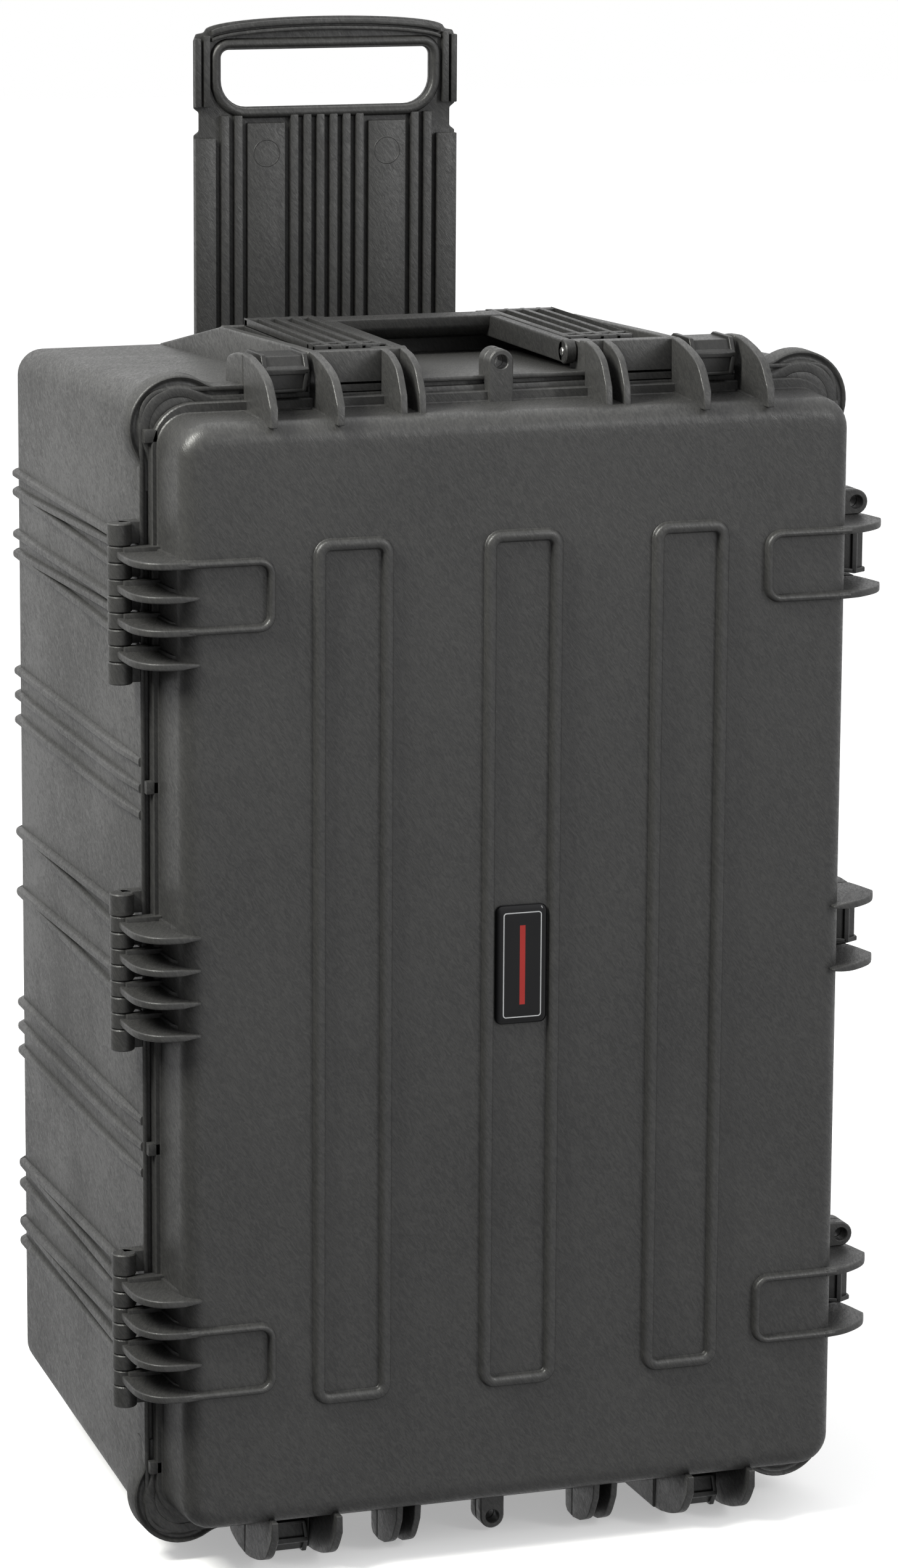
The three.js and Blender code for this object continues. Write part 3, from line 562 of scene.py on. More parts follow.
def lug(side, s, hole, y0, y1):
    """A rounded plate with a hole for a padlock."""
    foot = -20 if y0 < PARTING_Y else -5
    half = LUG["half"]
    head = arc((0, hole), half, 0, 180, 14)
    outline = [(half, foot), *head, (-half, foot)]
    bore = arc((0, hole), LUG["bore"], 0, 360, 24)[:-1]
    turn = {
        "right": lambda ds, o: (RIM_X + o, s + ds),
        "top": lambda ds, o: (s + ds, MID_Z + RIM_Z + o),
        "bottom": lambda ds, o: (s + ds, MID_Z - RIM_Z - o),
    }[side]
    return holed_plate([turn(a, b) for a, b in outline], [turn(a, b) for a, b in bore], turn(0, hole), y0, y1)


def holed_plate(outline, bore, centre, y0, y1):
    """A plate across Y whose outline and round bore are joined by rays from the bore's centre."""
    bevel = 1.0
    cx, cz = centre
    edge = []
    for a, b in bore:
        direction = Vector((a - cx, b - cz)).normalized()
        edge.append(ray_to_outline(Vector((cx, cz)), direction, outline))
    count = len(bore)
    order = [(bore, y0 + 0.6, 0), (bore, y0, 0.6), (edge, y0, -bevel), (edge, y0 + bevel, 0),
             (edge, y1 - bevel, 0), (edge, y1, -bevel), (bore, y1, 0.6), (bore, y1 - 0.6, 0)]
    part = bmesh.new()
    rows = []
    for points, y, grow in order:
        row = []
        for a, b in points:
            out = Vector((a - cx, b - cz))
            out = out * (1 + grow / max(out.length, 1e-6))
            row.append(part.verts.new((cx + out.x, y, cz + out.y)))
        rows.append(row)
    for a, b in zip(rows, rows[1:] + rows[:1]):
        for i in range(count):
            j = (i + 1) % count
            part.faces.new((a[i], a[j], b[j], b[i]))
    bmesh.ops.recalc_face_normals(part, faces=part.faces)
    return part


def ray_to_outline(start, direction, outline):
    best = None
    for i in range(len(outline)):
        a, b = Vector(outline[i]), Vector(outline[(i + 1) % len(outline)])
        side = b - a
        cross = direction.x * side.y - direction.y * side.x
        if abs(cross) < 1e-9:
            continue
        reach = ((a.x - start.x) * side.y - (a.y - start.y) * side.x) / cross
        along = ((a.x - start.x) * direction.y - (a.y - start.y) * direction.x) / cross
        if reach > 0 and -1e-6 <= along <= 1 + 1e-6 and (best is None or reach < best):
            best = reach
    return tuple(start + direction * best)


def fin_root(side, s, thick, front=-214):
    """The swelling where a fin meets the wall of the lid."""
    wall = LID_WALL_OUT[side]
    outline = [(wall - 6, FLANGE_FRONT), (wall + 2, FLANGE_FRONT), (wall + 0.4, -200), (wall - 4, front),
               (wall - 9, front)]
    return on_side(side, outline, s, thick + 3, bevel=1.2, steps=2)


def build_lid():
    piece("lid_panel", [lid_skin()], SHELL, "lid", ["lid_shell"])
    beads = [stadium(step * STADIUM_STEP) for step in (-1, 0, 1)]
    low, _, top = (hinge_fin_heights(h[2]) for h in HINGES)
    beads += [loop(-1, top[0], top[2]), loop(-1, low[1], low[3])]
    heights = side_latches()
    beads += [loop(1, z + LATCH_FIN_HALF, z - LATCH_FIN_HALF) for z in (heights[0], heights[2])]
    piece("lid_beads", beads, SHELL, "lid")

    fins = []
    looped_left = {top[0], top[2], low[1], low[3]}
    for h in HINGES:
        for z in hinge_fin_heights(h[2]):
            taper = None if z in looped_left else (-6, -24, 0.3)
            fins += [on_side("left", HINGE_FIN, z, RIDGE, 1.3, 3, taper), fin_root("left", z, RIDGE)]
    for i, z in enumerate(heights):
        taper = (-4, -22, 0.3) if i == 1 else None
        for s in (z - LATCH_FIN_HALF, z + LATCH_FIN_HALF):
            fins += [on_side("right", LATCH_FIN, s, RIDGE, 1.3, 3, taper), fin_root("right", s, RIDGE)]
    for side in ("top", "bottom"):
        for x in end_latches():
            for s in (x - LATCH_FIN_END_HALF, x + LATCH_FIN_END_HALF):
                fins += [on_side(side, END_FIN, s, RIDGE + 1, 1.0, 3, (0, -22, 0.75)),
                         fin_root(side, s, RIDGE + 1)]
        for x in SMALL_FIN_X:
            for s in (-x, x):
                fins.append(on_side(side, SMALL_FIN, s, RIDGE, 1.0, 3))
    piece("lid_fins", fins, SHELL, "lid")
    lugs = [lug(*place, LUG["front"], PARTING_Y - SEAM) for place in LUGS]
    piece("lid_padlock_lugs", lugs, SHELL, "lid")
    tabs = [block((sign * (LID_SEAM[0] - 1), sign * TAB_OUT), (FLANGE_FRONT, PARTING_Y - SEAM),
                  (z - TAB_HALF, z + TAB_HALF), 0.8) for z in RIM_TABS for sign in (-1, 1)]
    piece("lid_tabs", tabs, SHELL, "lid")

    knuckles = []
    for x, y, centre in HINGES:
        for z in hinge_fin_heights(centre):
            z0, z1 = z - LID_KNUCKLE_HALF, z + LID_KNUCKLE_HALF
            knuckles.append(rod("z", KNUCKLE_R - 0.3, z0, z1, (x, y), 0.8))
            knuckles.append(block((x, -LID_SEAM[0] + 2), (y - 12, y - 2), (z0, z1)))
    piece("lid_knuckles", knuckles, SHELL, "lid")


def build_badge():
    """A blank domed plate with a thin frame line and one stripe."""
    low, high = BADGE
    half = ((high[0] - low[0]) / 2, (high[2] - low[2]) / 2)
    cz = (high[2] + low[2]) / 2

    def outline(inset, y, corner=5):
        loop_points = ring((half[0] - inset, half[1] - inset), corner - inset * 0.6, y, 6)
        return [(x, y, z - MID_Z + cz) for x, y, z in loop_points]

    back, face = high[1], low[1]
    dome = [(0, back), (0, back - 1.4), (0.5, back - 2.2), (1.4, back - 2.9), (3, back - 3.5),
            (6, face + 0.25), (11, face)]
    skin = loft([outline(inset, y) for inset, y in dome])
    piece("badge_dome", [skin], BADGE_BLACK, "lid", ["badge_plate"], 60)
    thin = [(0.35, -0.5), (0.35, 0.12), (-0.35, 0.12), (-0.35, -0.5)]
    piece("badge_frame", [sweep(outline(5.2, face + 0.3), thin, (0, -1, 0))], BADGE_LINE, "lid")
    stripe = block((-2.2, 2.2), (face - 0.02, face + 0.6), (cz - half[1] + 14, cz + half[1] - 14), 0.2, 1)
    piece("badge_stripe", [stripe], BADGE_STRIPE, "lid")


# ---- Base ----
def base_half(y, inset):
    t = (y - PARTING_Y) / (REAR_Y - PARTING_Y)
    return [seam + t * (rear - seam) - inset for seam, rear in zip(BASE_SEAM, BASE_REAR)]


def base_ring(y, inset):
    return ring(base_half(y, inset), BASE_CORNER - inset, y)


def base_skin():
    inner = BASE_EDGE - WALL + 1
    floor_y = REAR_Y - WALL
    quarter = [radians(90 * i / 8) for i in range(9)]
    rows = [base_ring(floor_y, WALL + inner + 7)]
    rows += [base_ring(floor_y - inner * (1 - sin(a)), WALL + inner * (1 - cos(a)))
             for a in reversed(quarter)]
    rows += [base_ring(PARTING_Y + RIM_DEPTH, WALL), ring(RIM_INNER, 24, PARTING_Y + RIM_DEPTH)]
    rows += [ring(RIM_INNER, 24, PARTING_Y + 0.8), ring([h + 0.8 for h in RIM_INNER], 24, PARTING_Y)]
    for half, corner in ((GROOVE_INNER, 23), (GROOVE_OUTER, 27)):
        depths = (PARTING_Y, PARTING_Y + GROOVE_DEPTH)
        rows += [ring(half, corner, y) for y in (depths if half is GROOVE_INNER else depths[::-1])]
    # The deep channel round the front of the rim, and the flat edge outside it.
    for inset, deep in ((7.4, 0), (6.7, 0.3), (6.4, 1.2), (6.1, 4), (3.6, 4), (3.4, 0.9), (3.1, 0.2),
                        (2.6, 0), (1, 0), (0.4, 0.2), (0.1, 0.7)):
        rows.append(base_ring(PARTING_Y + deep, inset))
    rows.append(base_ring(PARTING_Y + 1.5, 0))
    rows += [base_ring(REAR_Y - BASE_EDGE * (1 - sin(a)), BASE_EDGE * (1 - cos(a))) for a in quarter]
    rows.append(base_ring(REAR_Y, BASE_EDGE + 5))
    return loft(rows)


def bumper(sx, sz):
    """A rounded corner guard that runs out into the rim on both sides."""
    r, fillet = BUMPER["r"], BUMPER["fillet"]
    cx, cz = BUMPER["x"], BUMPER["z"]
    reach = r + fillet
    top_dz = RIM_Z + fillet - cz
    top_dx = sqrt(reach ** 2 - top_dz ** 2)
    side_dx = RIM_X + fillet - cx
    side_dz = sqrt(reach ** 2 - side_dx ** 2)
    top_angle = degrees(atan2(top_dz, -top_dx))
    side_angle = degrees(atan2(-side_dz, side_dx))
    path = [(cx - top_dx - 14, RIM_Z)]
    path += arc((cx - top_dx, cz + top_dz), fillet, -90, top_angle - 180, 5)
    path += arc((cx, cz), r, top_angle, side_angle, 20)[1:-1]
    path += arc((cx + side_dx, cz - side_dz), fillet, side_angle + 180, 180, 5)
    path += [(RIM_X, cz - side_dz - 14)]
    back = BUMPER["back"] - PARTING_Y
    # across: inwards from the outer edge; up: forward of the parting line
    section = [(-0.4, -1.2), (-0.9, -0.4), (-1.6, -0.1), (-2.3, -0.4), (-3.4, -1.9), (-4.4, -2.5),
               (-5.6, -2.5), (-6.8, -1.7), (-8.1, -0.2), (-8.8, 0.15), (-9.6, 0.25), (-14.4, 0.25),
               (-15.1, 0), (-15.6, -0.6), (-15.9, -4), (-16, -back), (-1.2, -back), (0, -back + 1.4)]
    points = [(sx * x, PARTING_Y, MID_Z + sz * z) for x, z in path]
    flip = sx * sz
    return sweep(points, [(-a * flip, b) for a, b in section], (0, -1, 0), closed=False)


def rib_path(sign, front_z, rear_z, y0):
    """From behind the rim, along the side wall, round the rear edge and across to the track."""
    points = []
    y1 = REAR_Y - BASE_EDGE
    for i in range(9):
        t = i / 8
        y = y0 + (y1 - y0) * t
        points.append((base_half(y, 0)[0], y, front_z + (rear_z - front_z) * (y - y0) / (REAR_Y - y0)))
    centre = (base_half(y1, 0)[0] - BASE_EDGE, y1)
    points += [(x, y, rear_z) for x, y in arc(centre, BASE_EDGE, 0, 90, 6)[1:]]
    points.append((TRACK[1][0] + 5, REAR_Y, rear_z))
    return [(sign * x, y, z) for x, y, z in points]


def wall_rib(sign, front_z, rear_z):
    """A low rib whose front end fades into the wall."""
    path = rib_path(sign, front_z, rear_z, RIB["front"] if sign < 0 else RIB["latch_front"])
    half, high = RIB["half"], RIB["high"]
    section = [(-half, -2), (-half * 0.8, high * 0.55), (-half * 0.45, high * 0.95), (0, high),
               (half * 0.45, high * 0.95), (half * 0.8, high * 0.55), (half, -2)]
    rings = []
    for i, point in enumerate(path):
        p = Vector(point)
        ahead = Vector(path[min(i + 1, len(path) - 1)]) - Vector(path[max(i - 1, 0)])
        out = Vector((ahead.y, -ahead.x, 0)).normalized() * (1 if sign > 0 else -1)
        if out.x * sign < 0 and i < 9:
            out = -out
        grow = 1 if i else 0.3
        rings.append([tuple(p + Vector((0, 0, a)) + out * b * grow) for a, b in section])
    return loft(rings)


def build_ribs():
    rows = []
    for sign in (-1, 1):
        rows += [wall_rib(sign, z, z) for z in PLAIN_RIBS]
        for h in HINGES:
            for rear in (h[2] - FAN_HALF, h[2] + FAN_HALF):
                fronts = (rear - FAN_SPREAD, rear + FAN_SPREAD) if sign < 0 else (rear,)
                rows += [wall_rib(sign, front, rear) for front in fronts]
    piece("base_ribs", rows, SHELL, "case")


def flank(x, end):
    if end == "top":
        outline = [(PARTING_Y, MID_Z + 400), (PARTING_Y, 859.5), (-120, 858.3),
                   *arc((40, 838), 14.5, 96, 70, 4), (REAR_Y - 10, 822), (REAR_Y - 10, 806)]
    else:
        outline = [(PARTING_Y, 30), (PARTING_Y, 0), (WELL_BACK_Y, 0), (REAR_Y - 50, 34), (REAR_Y - 50, 48)]
    return prism(outline, "x", x - FLANK_HALF, x + FLANK_HALF, 1.6, 3)


def build_furniture():
    rows = []
    for side in ("top", "bottom"):
        for x in end_latches():
            for s in (x - LATCH_FIN_END_HALF, x + LATCH_FIN_END_HALF):
                rows.append(on_side(side, BASE_END_FIN, s, RIDGE + 1, 1.6, 3))
        for sign in (-1, 1):
            rows.append(flank(sign * FLANK_X, side))
            s = sign * sum(SMALL_FIN_X) / 2
            rows.append(on_side(side, SMALL_BASE_FIN, s, SMALL_FIN_X[1] - SMALL_FIN_X[0] + RIDGE, 1.6, 3))
    for z in side_latches():
        for s in (z - LATCH_FIN_HALF, z + LATCH_FIN_HALF):
            rows.append(on_side("right", BASE_FIN, s, RIDGE, 1.6, 3))
    arm = span("carry_handle")
    low, top = arm[0][2], arm[1][2]
    inner = GRIP_HALF
    for sign in (-1, 1):
        edge = sign * (SMALL_FIN_X[1] - 1)
        rows.append(block((edge, sign * FLANK_X), (PARTING_Y, WELL_FRONT_Y), (low - 12, top + 1), 1.2))
        rows.append(block((sign * (inner + 1), edge), (WELL_FRONT_Y - 1, CARRY_PIN[1] + 10),
                          (low - 12, top - 1), 1.2))
    rows.append(block((-FLANK_X, FLANK_X), (WELL_BACK_Y - 3, WELL_BACK_Y + 4), (low - 22, 852), 1.5, 3))
    piece("base_end_furniture", rows, SHELL, "case")
    lugs = [lug(*place, PARTING_Y, LUG["back"]) for place in LUGS]
    piece("base_padlock_lugs", lugs, SHELL, "case")


def build_hinge_barrels():
    rows = []
    for x, y, centre in HINGES:
        half = BASE_KNUCKLE_HALF
        spans = [(centre + step * FIN_PITCH - half, centre + step * FIN_PITCH + half) for step in (1, 0, -1)]
        near, far = END_KNUCKLE
        spans += [(centre - far, centre - near), (centre + near, centre + far)]
        for z0, z1 in spans:
            rows.append(rod("z", KNUCKLE_R, z0, z1, (x, y), 0.8))
            rows.append(block((x, -RIM_X + 3), (y + 1, y + 13), (z0, z1), 1.0))
    piece("base_knuckles", rows, SHELL, "case")


def build_base():
    wheel_y = middle("wheel_tyre_left")[1]
    radius = (span("wheel_tyre_left")[1][2] - span("wheel_tyre_left")[0][2]) / 2
    wheel_x = middle("wheel_tyre_right")[0]
    skin = piece("base_body", [base_skin()], SHELL, "case", ["base_shell"])
    pods = [block((s * (wheel_x - HOUSING_HALF), s * (wheel_x + HOUSING_HALF)),
                  (wheel_y - radius - 9, REAR_Y - 1), (MID_Z - RIM_Z + 14, 2 * radius + 8), 2, 3)
            for s in (-1, 1)]
    pod = piece("wheel_housings", pods, SHELL, "case")
    for thing in (skin, pod):
        carve(thing, [block((s * (wheel_x - WHEEL_ROOM_HALF), s * (wheel_x + WHEEL_ROOM_HALF)),
                            (wheel_y - radius - 4, REAR_Y + 60), (-60, 2 * radius + 4), 1.5, 2)
                      for s in (-1, 1)])
    cheeks = []
    outline = [(142, 64), (156, 24), *arc((wheel_y, 28), 16, 205, 335, 8), (203, 64)]
    for s in (-1, 1):
        for side in (-1, 1):
            x = s * wheel_x + side * 21
            cheeks.append(prism(outline, "x", x - 3.5, x + 3.5, 1.2, 2))
    piece("wheel_cheeks", cheeks, SHELL, "case")
    piece("corner_bumpers", [bumper(sx, sz) for sx in (-1, 1) for sz in (-1, 1)], SHELL, "case")
    build_ribs()
    build_furniture()
    build_hinge_barrels()


# ---- Latches ----
LEVER = [(3, -143), (1.6, -150), (1.6, -164.5), (-4.5, -168), (-4.5, -177.5), (-3.5, -178.5), (9.5, -178.5),
         (10.5, -177.5), (20.8, -171.5), (21.3, -169), (21.3, -141), (18, -134.5), (10, -132.6), (5, -135)]
LEVER_CORE = [(3, -143), (1.6, -150), (1.6, -164.5), (-3.4, -168), (-3.4, -176.4), (9, -176.4), (10, -175.6),
              (19.4, -170), (19.6, -141), (17, -135.5), (10, -133.4), (5, -135)]
LEVER_LEDGE = [(7.6, -178.5), (11.2, -178.5), (13.6, -174.6), (11, -172), (7.6, -172)]
LEVER_TOE = [(-4.5, -172), (-4.5, -178.3), (-2.2, -178.3), (-2.2, -172)]
LEVER_HALF = 16.6
LEVER_TIP = {"low": -5, "ledge": 10.5, "keep": 0.83}


def latch_lever(name):
    """A folded lever: a slope down to a ledge, an upright face, and raised side rails."""
    side = {"s": "right", "t": "top", "b": "bottom"}[name[0]]
    pin = middle("latch_pin_" + name)
    s = pin[2] if side == "right" else pin[0]
    parts = [on_side(side, LEVER_CORE, s, 2 * LEVER_HALF - 1.5, 0.9, 3),
             on_side(side, LEVER_LEDGE, s, 2 * LEVER_HALF - 1, 0.7, 3),
             on_side(side, LEVER_TOE, s, 2 * LEVER_HALF - 1, 0.6, 2)]
    for off in (-1, 1):
        parts.append(on_side(side, LEVER, s + off * (LEVER_HALF - 1.7), 3.4, 0.9, 3))
    axis = 2 if side == "right" else 0
    across = RIM_X if side == "right" else RIM_Z
    low, ledge, keep = LEVER_TIP["low"], LEVER_TIP["ledge"], LEVER_TIP["keep"]
    for part in parts:
        for v in part.verts:
            out = (abs(v.co.x) if side == "right" else abs(v.co.z - MID_Z)) - across
            share = min(max((ledge - out) / (ledge - low), 0), 1)
            v.co[axis] = s + (v.co[axis] - s) * (1 + (keep - 1) * share)
    piece("lever_" + name, parts, BLACK, "latch_" + name, ["latch_" + name])


def build_pins():
    for level, (x, y, _) in zip(("low", "middle", "top"), HINGES):
        node = "hinge_pin_" + level
        low, high = span(node)
        pin = rod("z", 3, low[2], high[2], (x, y), 0.5, 24)
        piece("pin_hinge_" + level, [pin], STEEL, "case", [node])
    names = ["side_low", "side_middle", "side_top", "top_left", "top_right", "bottom_left", "bottom_right"]
    for name in names:
        node = "latch_pin_" + name
        low, high = span(node)
        centre = middle(node)
        if name.startswith("side"):
            part = rod("z", 2.5, low[2], high[2], centre[:2], 0.4, 24)
        else:
            part = rod("x", 2.5, low[0], high[0], centre[1:], 0.4, 24)
        piece("pin_latch_" + name, [part], STEEL, "case", [node])
        latch_lever(name)
    for hand in ("left", "right"):
        node = "carry_pin_" + hand
        low, high = span(node)
        pin = rod("x", 3, low[0], high[0], middle(node)[1:], 0.5, 24)
        piece("pin_carry_" + hand, [pin], STEEL, "case", [node])


# ---- Carry handle ----
def build_carry():
    low, high = span("carry_handle")
    top, foot = high[2], low[2]
    inner, outer = GRIP_HALF, high[0]
    front, back = -121, high[1]
    rows = []
    for sign in (-1, 1):
        pad = [(sign * inner, front), (sign * outer, front), (sign * outer, back), (sign * inner, back)]
        if sign < 0:
            pad = pad[::-1]
        # The pad is a frame of rails round four slots.
        rows.append(prism(pad, "z", foot, top - 4, 1.2, 2))
        rails = [(0, 6)] + [(14 + i * 12.5, 18.5 + i * 12.5) for i in range(3)] + [(51.5, outer - inner)]
        for a, b in rails:
            rail = (sign * (inner + a), sign * (inner + b))
            rows.append(block(rail, (front, back), (top - 6, top), 1.1, 2))
        for y0, y1 in ((front, front + 6), (front + 14, front + 19), (back - 8, back)):
            rows.append(block((sign * inner, sign * outer), (y0, y1), (top - 6, top - 0.3), 1.0, 2))
        # The arm stays 0.7 mm inside the grip, so that its own faces do not lie in the grip's.
        rows.append(block((sign * (inner - 8), sign * (inner + 0.7)), (CARRY_PIN[1], back - 0.7),
                          (foot + 0.7, top - 0.7), 1.4, 3))
        ends = sorted((sign * (inner - 8), sign * inner))
        rows.append(rod("x", top - CARRY_PIN[2], *ends, CARRY_PIN[1:], 0.8, 40))
    grip = [(back - 34, top), *smooth([(back - 12, top), (back - 2, top - 2), (back, top - 6)], 4),
            (back, foot), (back - 12, foot - 1), (back - 26, foot + 3), (back - 33, foot + 9)]
    rows.append(prism(grip, "x", -inner - 3, inner + 3, 1.6, 3))
    piece("carry_grip", rows, HANDLE, "carry", ["carry_handle"])


# ---- Pull handle ----
def build_pull():
    low, high = PANEL
    half, y0, y1 = high[0], low[1], high[1]
    foot, crest = low[2], high[2]
    shoulder = crest - 11
    hole_low, hole_high = crest - 66.5, crest - 24
    notch_low, notch_high, notch = crest - 87, crest - 67, 4
    right = [(half, foot), (half, notch_low), (half - notch, notch_low + 3), (half - notch, notch_high - 3),
             (half, notch_high), (half, shoulder - 6), (half - 2, shoulder - 1), (half - 8, shoulder)]
    arch = [((half - 8) * cos(radians(a)), shoulder + (crest - shoulder) * sin(radians(a)) ** 0.8)
            for a in range(12, 169, 6)]
    outline = right + arch + [(-x, z) for x, z in reversed(right)]
    plate = prism(outline, "y", y0 + 5, y1, 1.2, 2)
    panel = piece("pull_panel", [plate], HANDLE, "pull", ["pull_handle"])
    hole = []
    mid = (hole_low + hole_high) / 2
    tall = (hole_high - hole_low) / 2
    for quarter, (sx, sz) in enumerate([(1, 1), (-1, 1), (-1, -1), (1, -1)]):
        corner = WINDOW["top_corner"] if sz > 0 else WINDOW["foot_corner"]
        centre = (sx * (WINDOW["half"] - corner), mid + sz * (tall - corner))
        hole += arc(centre, corner, quarter * 90, quarter * 90 + 90, 8)
    carve(panel, [prism(hole, "y", y0 - 5, y1 + 5, 0)])
    rows = []
    grooves = [10.3, 20.6, 30.9, 64.4, 74.7, 85.2]
    lands = []
    start = -half
    for g in [-x for x in reversed(grooves)] + [0] + grooves:
        lands.append((start, g - 2.1))
        start = g + 2.1
    lands.append((start, half))
    for x0, x1 in lands:
        centre = abs(x0 + x1) / 2
        wide = x1 - x0 > 20
        top = notch_low - 2 if centre > 86 else hole_low - (12 if wide else 6)
        face = y0 + 0.9 if wide else y0
        rows.append(block((x0, x1), (face, y0 + 6), (foot + 12, top), 0.9, 2))
    # The grip: a rolled frame round the window, ears beside it and a crowned band across the top.
    inset = 4.5
    frame_path = []
    for quarter, (sx, sz) in enumerate([(1, 1), (-1, 1), (-1, -1), (1, -1)]):
        corner = (WINDOW["top_corner"] if sz > 0 else WINDOW["foot_corner"]) + inset
        centre = (sx * (WINDOW["half"] + inset - corner), mid + sz * (tall + inset - corner))
        frame_path += [(x, y0 + 5, z) for x, z in arc(centre, corner, quarter * 90, quarter * 90 + 90, 8)]
    rows.append(sweep(frame_path, bead(8, 5.0, 2), (0, -1, 0)))
    for sign in (-1, 1):
        for x0, x1, z1 in ((half - 4.5, half, shoulder - 4), (half - 11.5, half - 6.5, shoulder - 2)):
            rows.append(block((sign * x0, sign * x1), (y0, y0 + 6), (notch_high + 1, z1), 0.9, 2))
    for rise, drop in ((1.5, 5.6), (7.2, 10)):
        band = [(x * 0.97, z - rise) for x, z in arch] + [(x * 0.97, z - drop) for x, z in reversed(arch)]
        rows.append(prism(band, "y", y0 + 0.2, y0 + 6, 0.9, 2))
    piece("pull_ridges", rows, HANDLE, "pull")
    marks = []
    for sign in (-1, 1):
        marks.append([(sign * 47.5 + 10 * cos(2 * pi * i / 40), y0 + 0.9,
                       notch_low - 14 + 10 * sin(2 * pi * i / 40)) for i in range(40)])
    piece("pull_marks", [sweep(m, bead(0.9, 0.25, 0.6), (0, -1, 0)) for m in marks], HANDLE, "pull")


def build_track():
    low, high = TRACK
    half, y0, y1 = high[0], low[1], high[1]
    foot, top = low[2], high[2]
    channel = PANEL[1][0] + 0.8
    p0, p1 = PANEL[0][1] - 1, PANEL[1][1] + 1
    edge = [(-half, y0), (half, y0), (half, y1 - 4), *arc((half - 4, y1 - 4), 4, 20, 90, 4),
            *arc((-half + 4, y1 - 4), 4, 90, 160, 4), (-half, y1 - 4)]
    shape = prism(edge, "z", foot, top, 1.0, 2)
    cover = piece("handle_track", [shape], SHELL, "case", ["track_cover"])
    slot = [(-channel, p0), (channel, p0), (channel, p1), (-channel, p1)]
    carve(cover, [prism(slot, "z", foot + 3.5, top + 5, 0)])
    rows = []
    for x in (-84, -28, 28, 84):
        rows.append(block((x - 3, x + 3), (y1 - 3, y1 - 0.01), (foot + 16, top - 16), 0.9, 2))
    piece("track_ribs", rows, SHELL, "case")


# ---- Wheels ----
def build_wheels():
    for hand in ("left", "right"):
        low, high = span("wheel_tyre_" + hand)
        cx, cy, cz = middle("wheel_tyre_" + hand)
        r, half = (high[2] - low[2]) / 2, (high[0] - low[0]) / 2
        hub = 22

        def tread(radius, height, angle, r=r):
            if radius < r - 0.6:
                return radius
            wave = cos(angle * 30)
            return radius - (0.9 if wave > 0.55 else 0)

        profile = [(hub + GAP, cx - half + 1), (r - 4, cx - half), (r - 1.2, cx - half + 1.4),
                   (r, cx - half + 4),
                   (r, cx - 1.5), (r - 1.3, cx - 0.9), (r - 1.3, cx + 0.9), (r, cx + 1.5),
                   (r, cx + half - 4), (r - 1.2, cx + half - 1.4), (r - 4, cx + half),
                   (hub + GAP, cx + half - 1)]
        piece("tyre_" + hand, [turned(profile, "x", (cy, cz), 120, 0, tread)], TYRE, "wheel_" + hand,
              ["wheel_tyre_" + hand])
        bore = 5 + GAP
        body = [(bore, cx - half), (10, cx - half), (11, cx - half + 1), (12, cx - 3), (hub - 4, cx - 3),
                (hub - 3, cx - half + 3), (hub, cx - half + 2), (hub, cx + half - 2),
                (hub - 3, cx + half - 3), (hub - 4, cx + 3), (12, cx + 3),
                (11, cx + half - 1), (10, cx + half), (bore, cx + half)]
        parts = [turned(body, "x", (cy, cz), 48)]
        for i in range(6):
            angle = 2 * pi * i / 6
            c, s = cos(angle), sin(angle)
            corners = ((10.5, -1.6), (19.2, -1.6), (19.2, 1.6), (10.5, 1.6))
            spoke = [(cy + c * a - s * b, cz + s * a + c * b) for a, b in corners]
            parts.append(prism(spoke, "x", cx - half + 4.5, cx + half - 4.5, 0.6, 2))
        piece("hub_" + hand, parts, BLACK, "wheel_" + hand, ["wheel_hub_" + hand])
        node = "wheel_axle_" + hand
        low, high = span(node)
        axle = rod("x", 5, low[0], high[0], (cy, cz), 0.8, 32)
        piece("axle_" + hand, [axle], STEEL, "case", [node])


# ---- Floor, light and camera ----
VIEW_TURN = 19.476
VIEW_DROP = 11.778
VIEW_ROLL = 0.345
VIEW_FROM = (-1.2902, -3.7190, 1.3374)
LENS = 126.15


def build_stage():
    mesh = bpy.data.meshes.new("floor")
    reach = 12.0
    corners = [(-reach, -reach, 0), (reach, -reach, 0), (reach, reach, 0), (-reach, reach, 0)]
    mesh.from_pydata(corners, [], [(0, 1, 2, 3)])
    floor = bpy.data.objects.new("floor", mesh)
    bpy.context.scene.collection.objects.link(floor)
    floor.location.z = -0.0004
    n = Nodes("floor_paper")
    fine = n.noise(300, detail=2)
    colour = n.blend(n.ramp(fine, 0, 1, 0.3, 0.7), (0.88, 0.88, 0.88, 1), (0.9, 0.9, 0.9, 1))
    n.shader.inputs["Emission Color"].default_value = (1, 1, 1, 1)
    n.shader.inputs["Emission Strength"].default_value = 0.35
    mesh.materials.append(n.finish(colour, n.ramp(fine, 0.85, 0.95, 0.3, 0.7), n.bump(fine, 0.02, 0.0002)))
    floor.visible_glossy = False
    floor.visible_diffuse = False


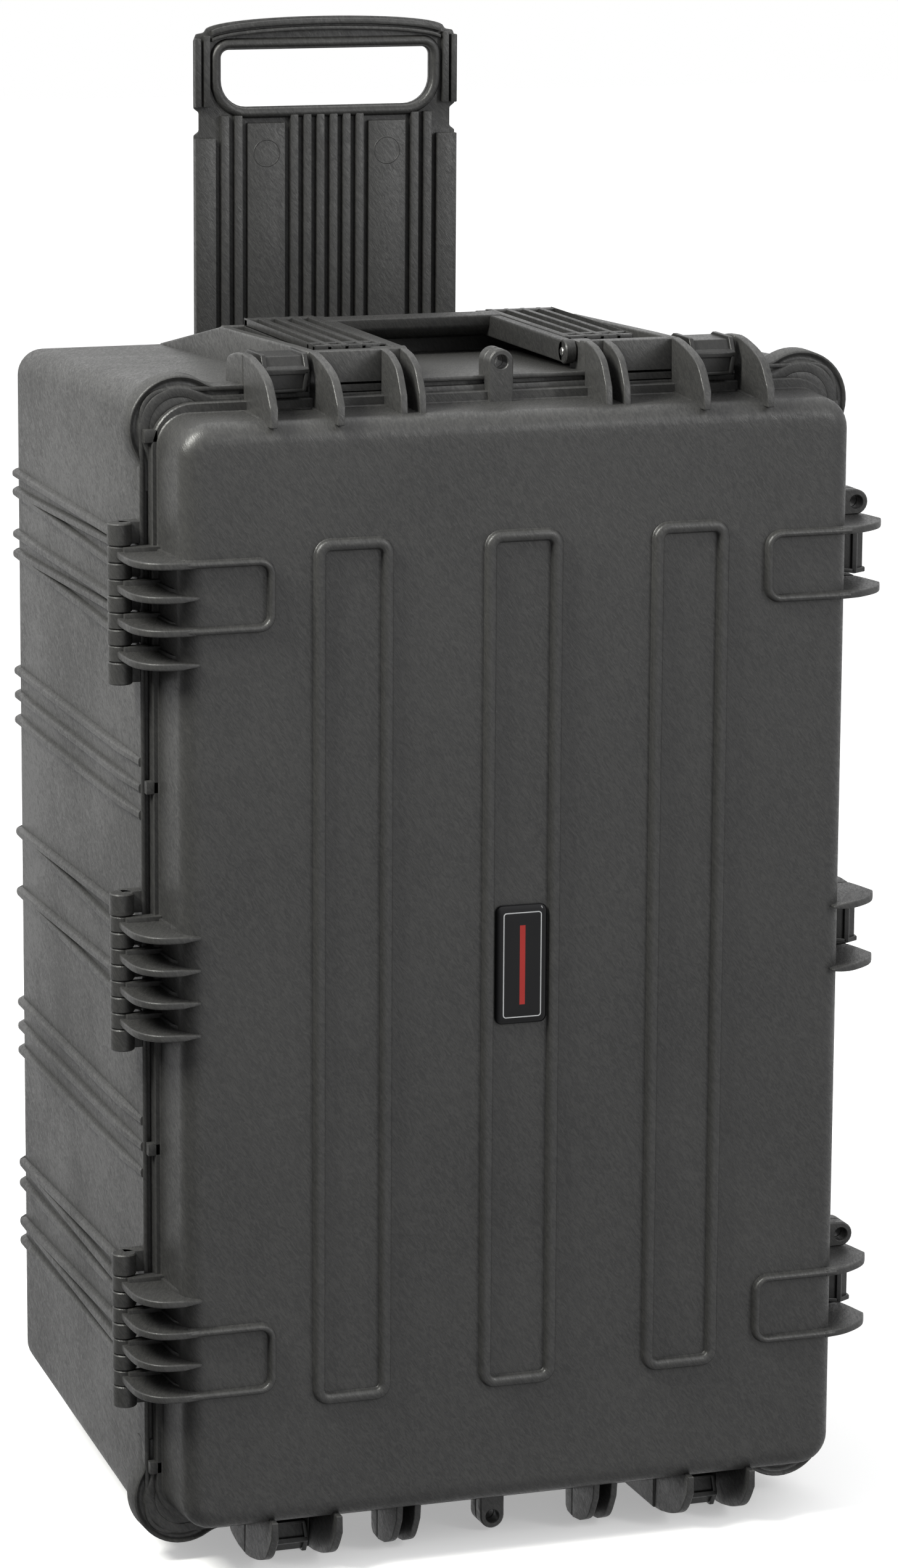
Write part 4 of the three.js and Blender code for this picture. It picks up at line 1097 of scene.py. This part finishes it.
def lamp(name, place, target, size, power, colour=(1, 1, 1)):
    light = bpy.data.lights.new(name, "AREA")
    light.shape = "RECTANGLE"
    light.size, light.size_y = size
    light.energy = power
    light.color = colour
    thing = bpy.data.objects.new(name, light)
    bpy.context.scene.collection.objects.link(thing)
    thing.location = place
    thing.rotation_euler = (Vector(target) - Vector(place)).to_track_quat("-Z", "Y").to_euler()


def build_light():
    """A white room, dim below and at the front left, with lamps up left, overhead and front right."""
    n = Nodes("studio", sky=True)
    bpy.context.scene.world = n.material
    toward = n.add("ShaderNodeVectorMath", {0: n.place, 1: (-0.95, -0.3, -0.1)}, operation="DOT_PRODUCT")
    up = n.add("ShaderNodeSeparateXYZ", {"Vector": n.place}).outputs["Z"]
    seen = n.add("ShaderNodeLightPath").outputs["Is Camera Ray"]
    side = n.ramp(toward.outputs["Value"], 1, 0.12, 0.3, 0.95)
    glow = n.maths("MULTIPLY", side, n.ramp(up, 0.44, 0.98, -0.9, 0.8))
    n.shader.inputs["Color"].default_value = (1, 1, 1, 1)
    n.tree.links.new(n.maths("MAXIMUM", seen, glow), n.shader.inputs["Strength"])
    lamp("key_left", (-1.5, -0.5, 2.05), (-0.1, 0, 0.75), (0.6, 0.9), 66, (1, 1, 0.94))
    lamp("top", (-0.4, 0.6, 3.4), (0, 0, 0.5), (2.4, 1.8), 8)
    lamp("front_right", (1.9, -2.6, 1.9), (0, 0, 0.5), (0.4, 1.5), 24)
    bpy.context.scene.view_settings.view_transform = "Standard"


def build_camera():
    data = bpy.data.cameras.new("camera")
    data.lens = LENS
    data.sensor_width = 36
    data.sensor_fit = "AUTO"
    data.clip_start = 0.1
    data.clip_end = 50
    camera = bpy.data.objects.new("camera", data)
    bpy.context.scene.collection.objects.link(camera)
    turn = Matrix.Rotation(radians(-VIEW_TURN), 4, "Z") @ Matrix.Rotation(radians(90 - VIEW_DROP), 4, "X")
    camera.matrix_world = Matrix.Translation(VIEW_FROM) @ turn @ Matrix.Rotation(radians(VIEW_ROLL), 4, "Z")
    bpy.context.scene.camera = camera


build_camera()
build_stage()
build_light()
build_lid()
build_badge()
build_base()
build_pins()
build_carry()
build_pull()
build_track()
build_wheels()
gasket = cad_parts["rim_gasket"]
gasket.data.materials.clear()
gasket.data.materials.append(SEAL)
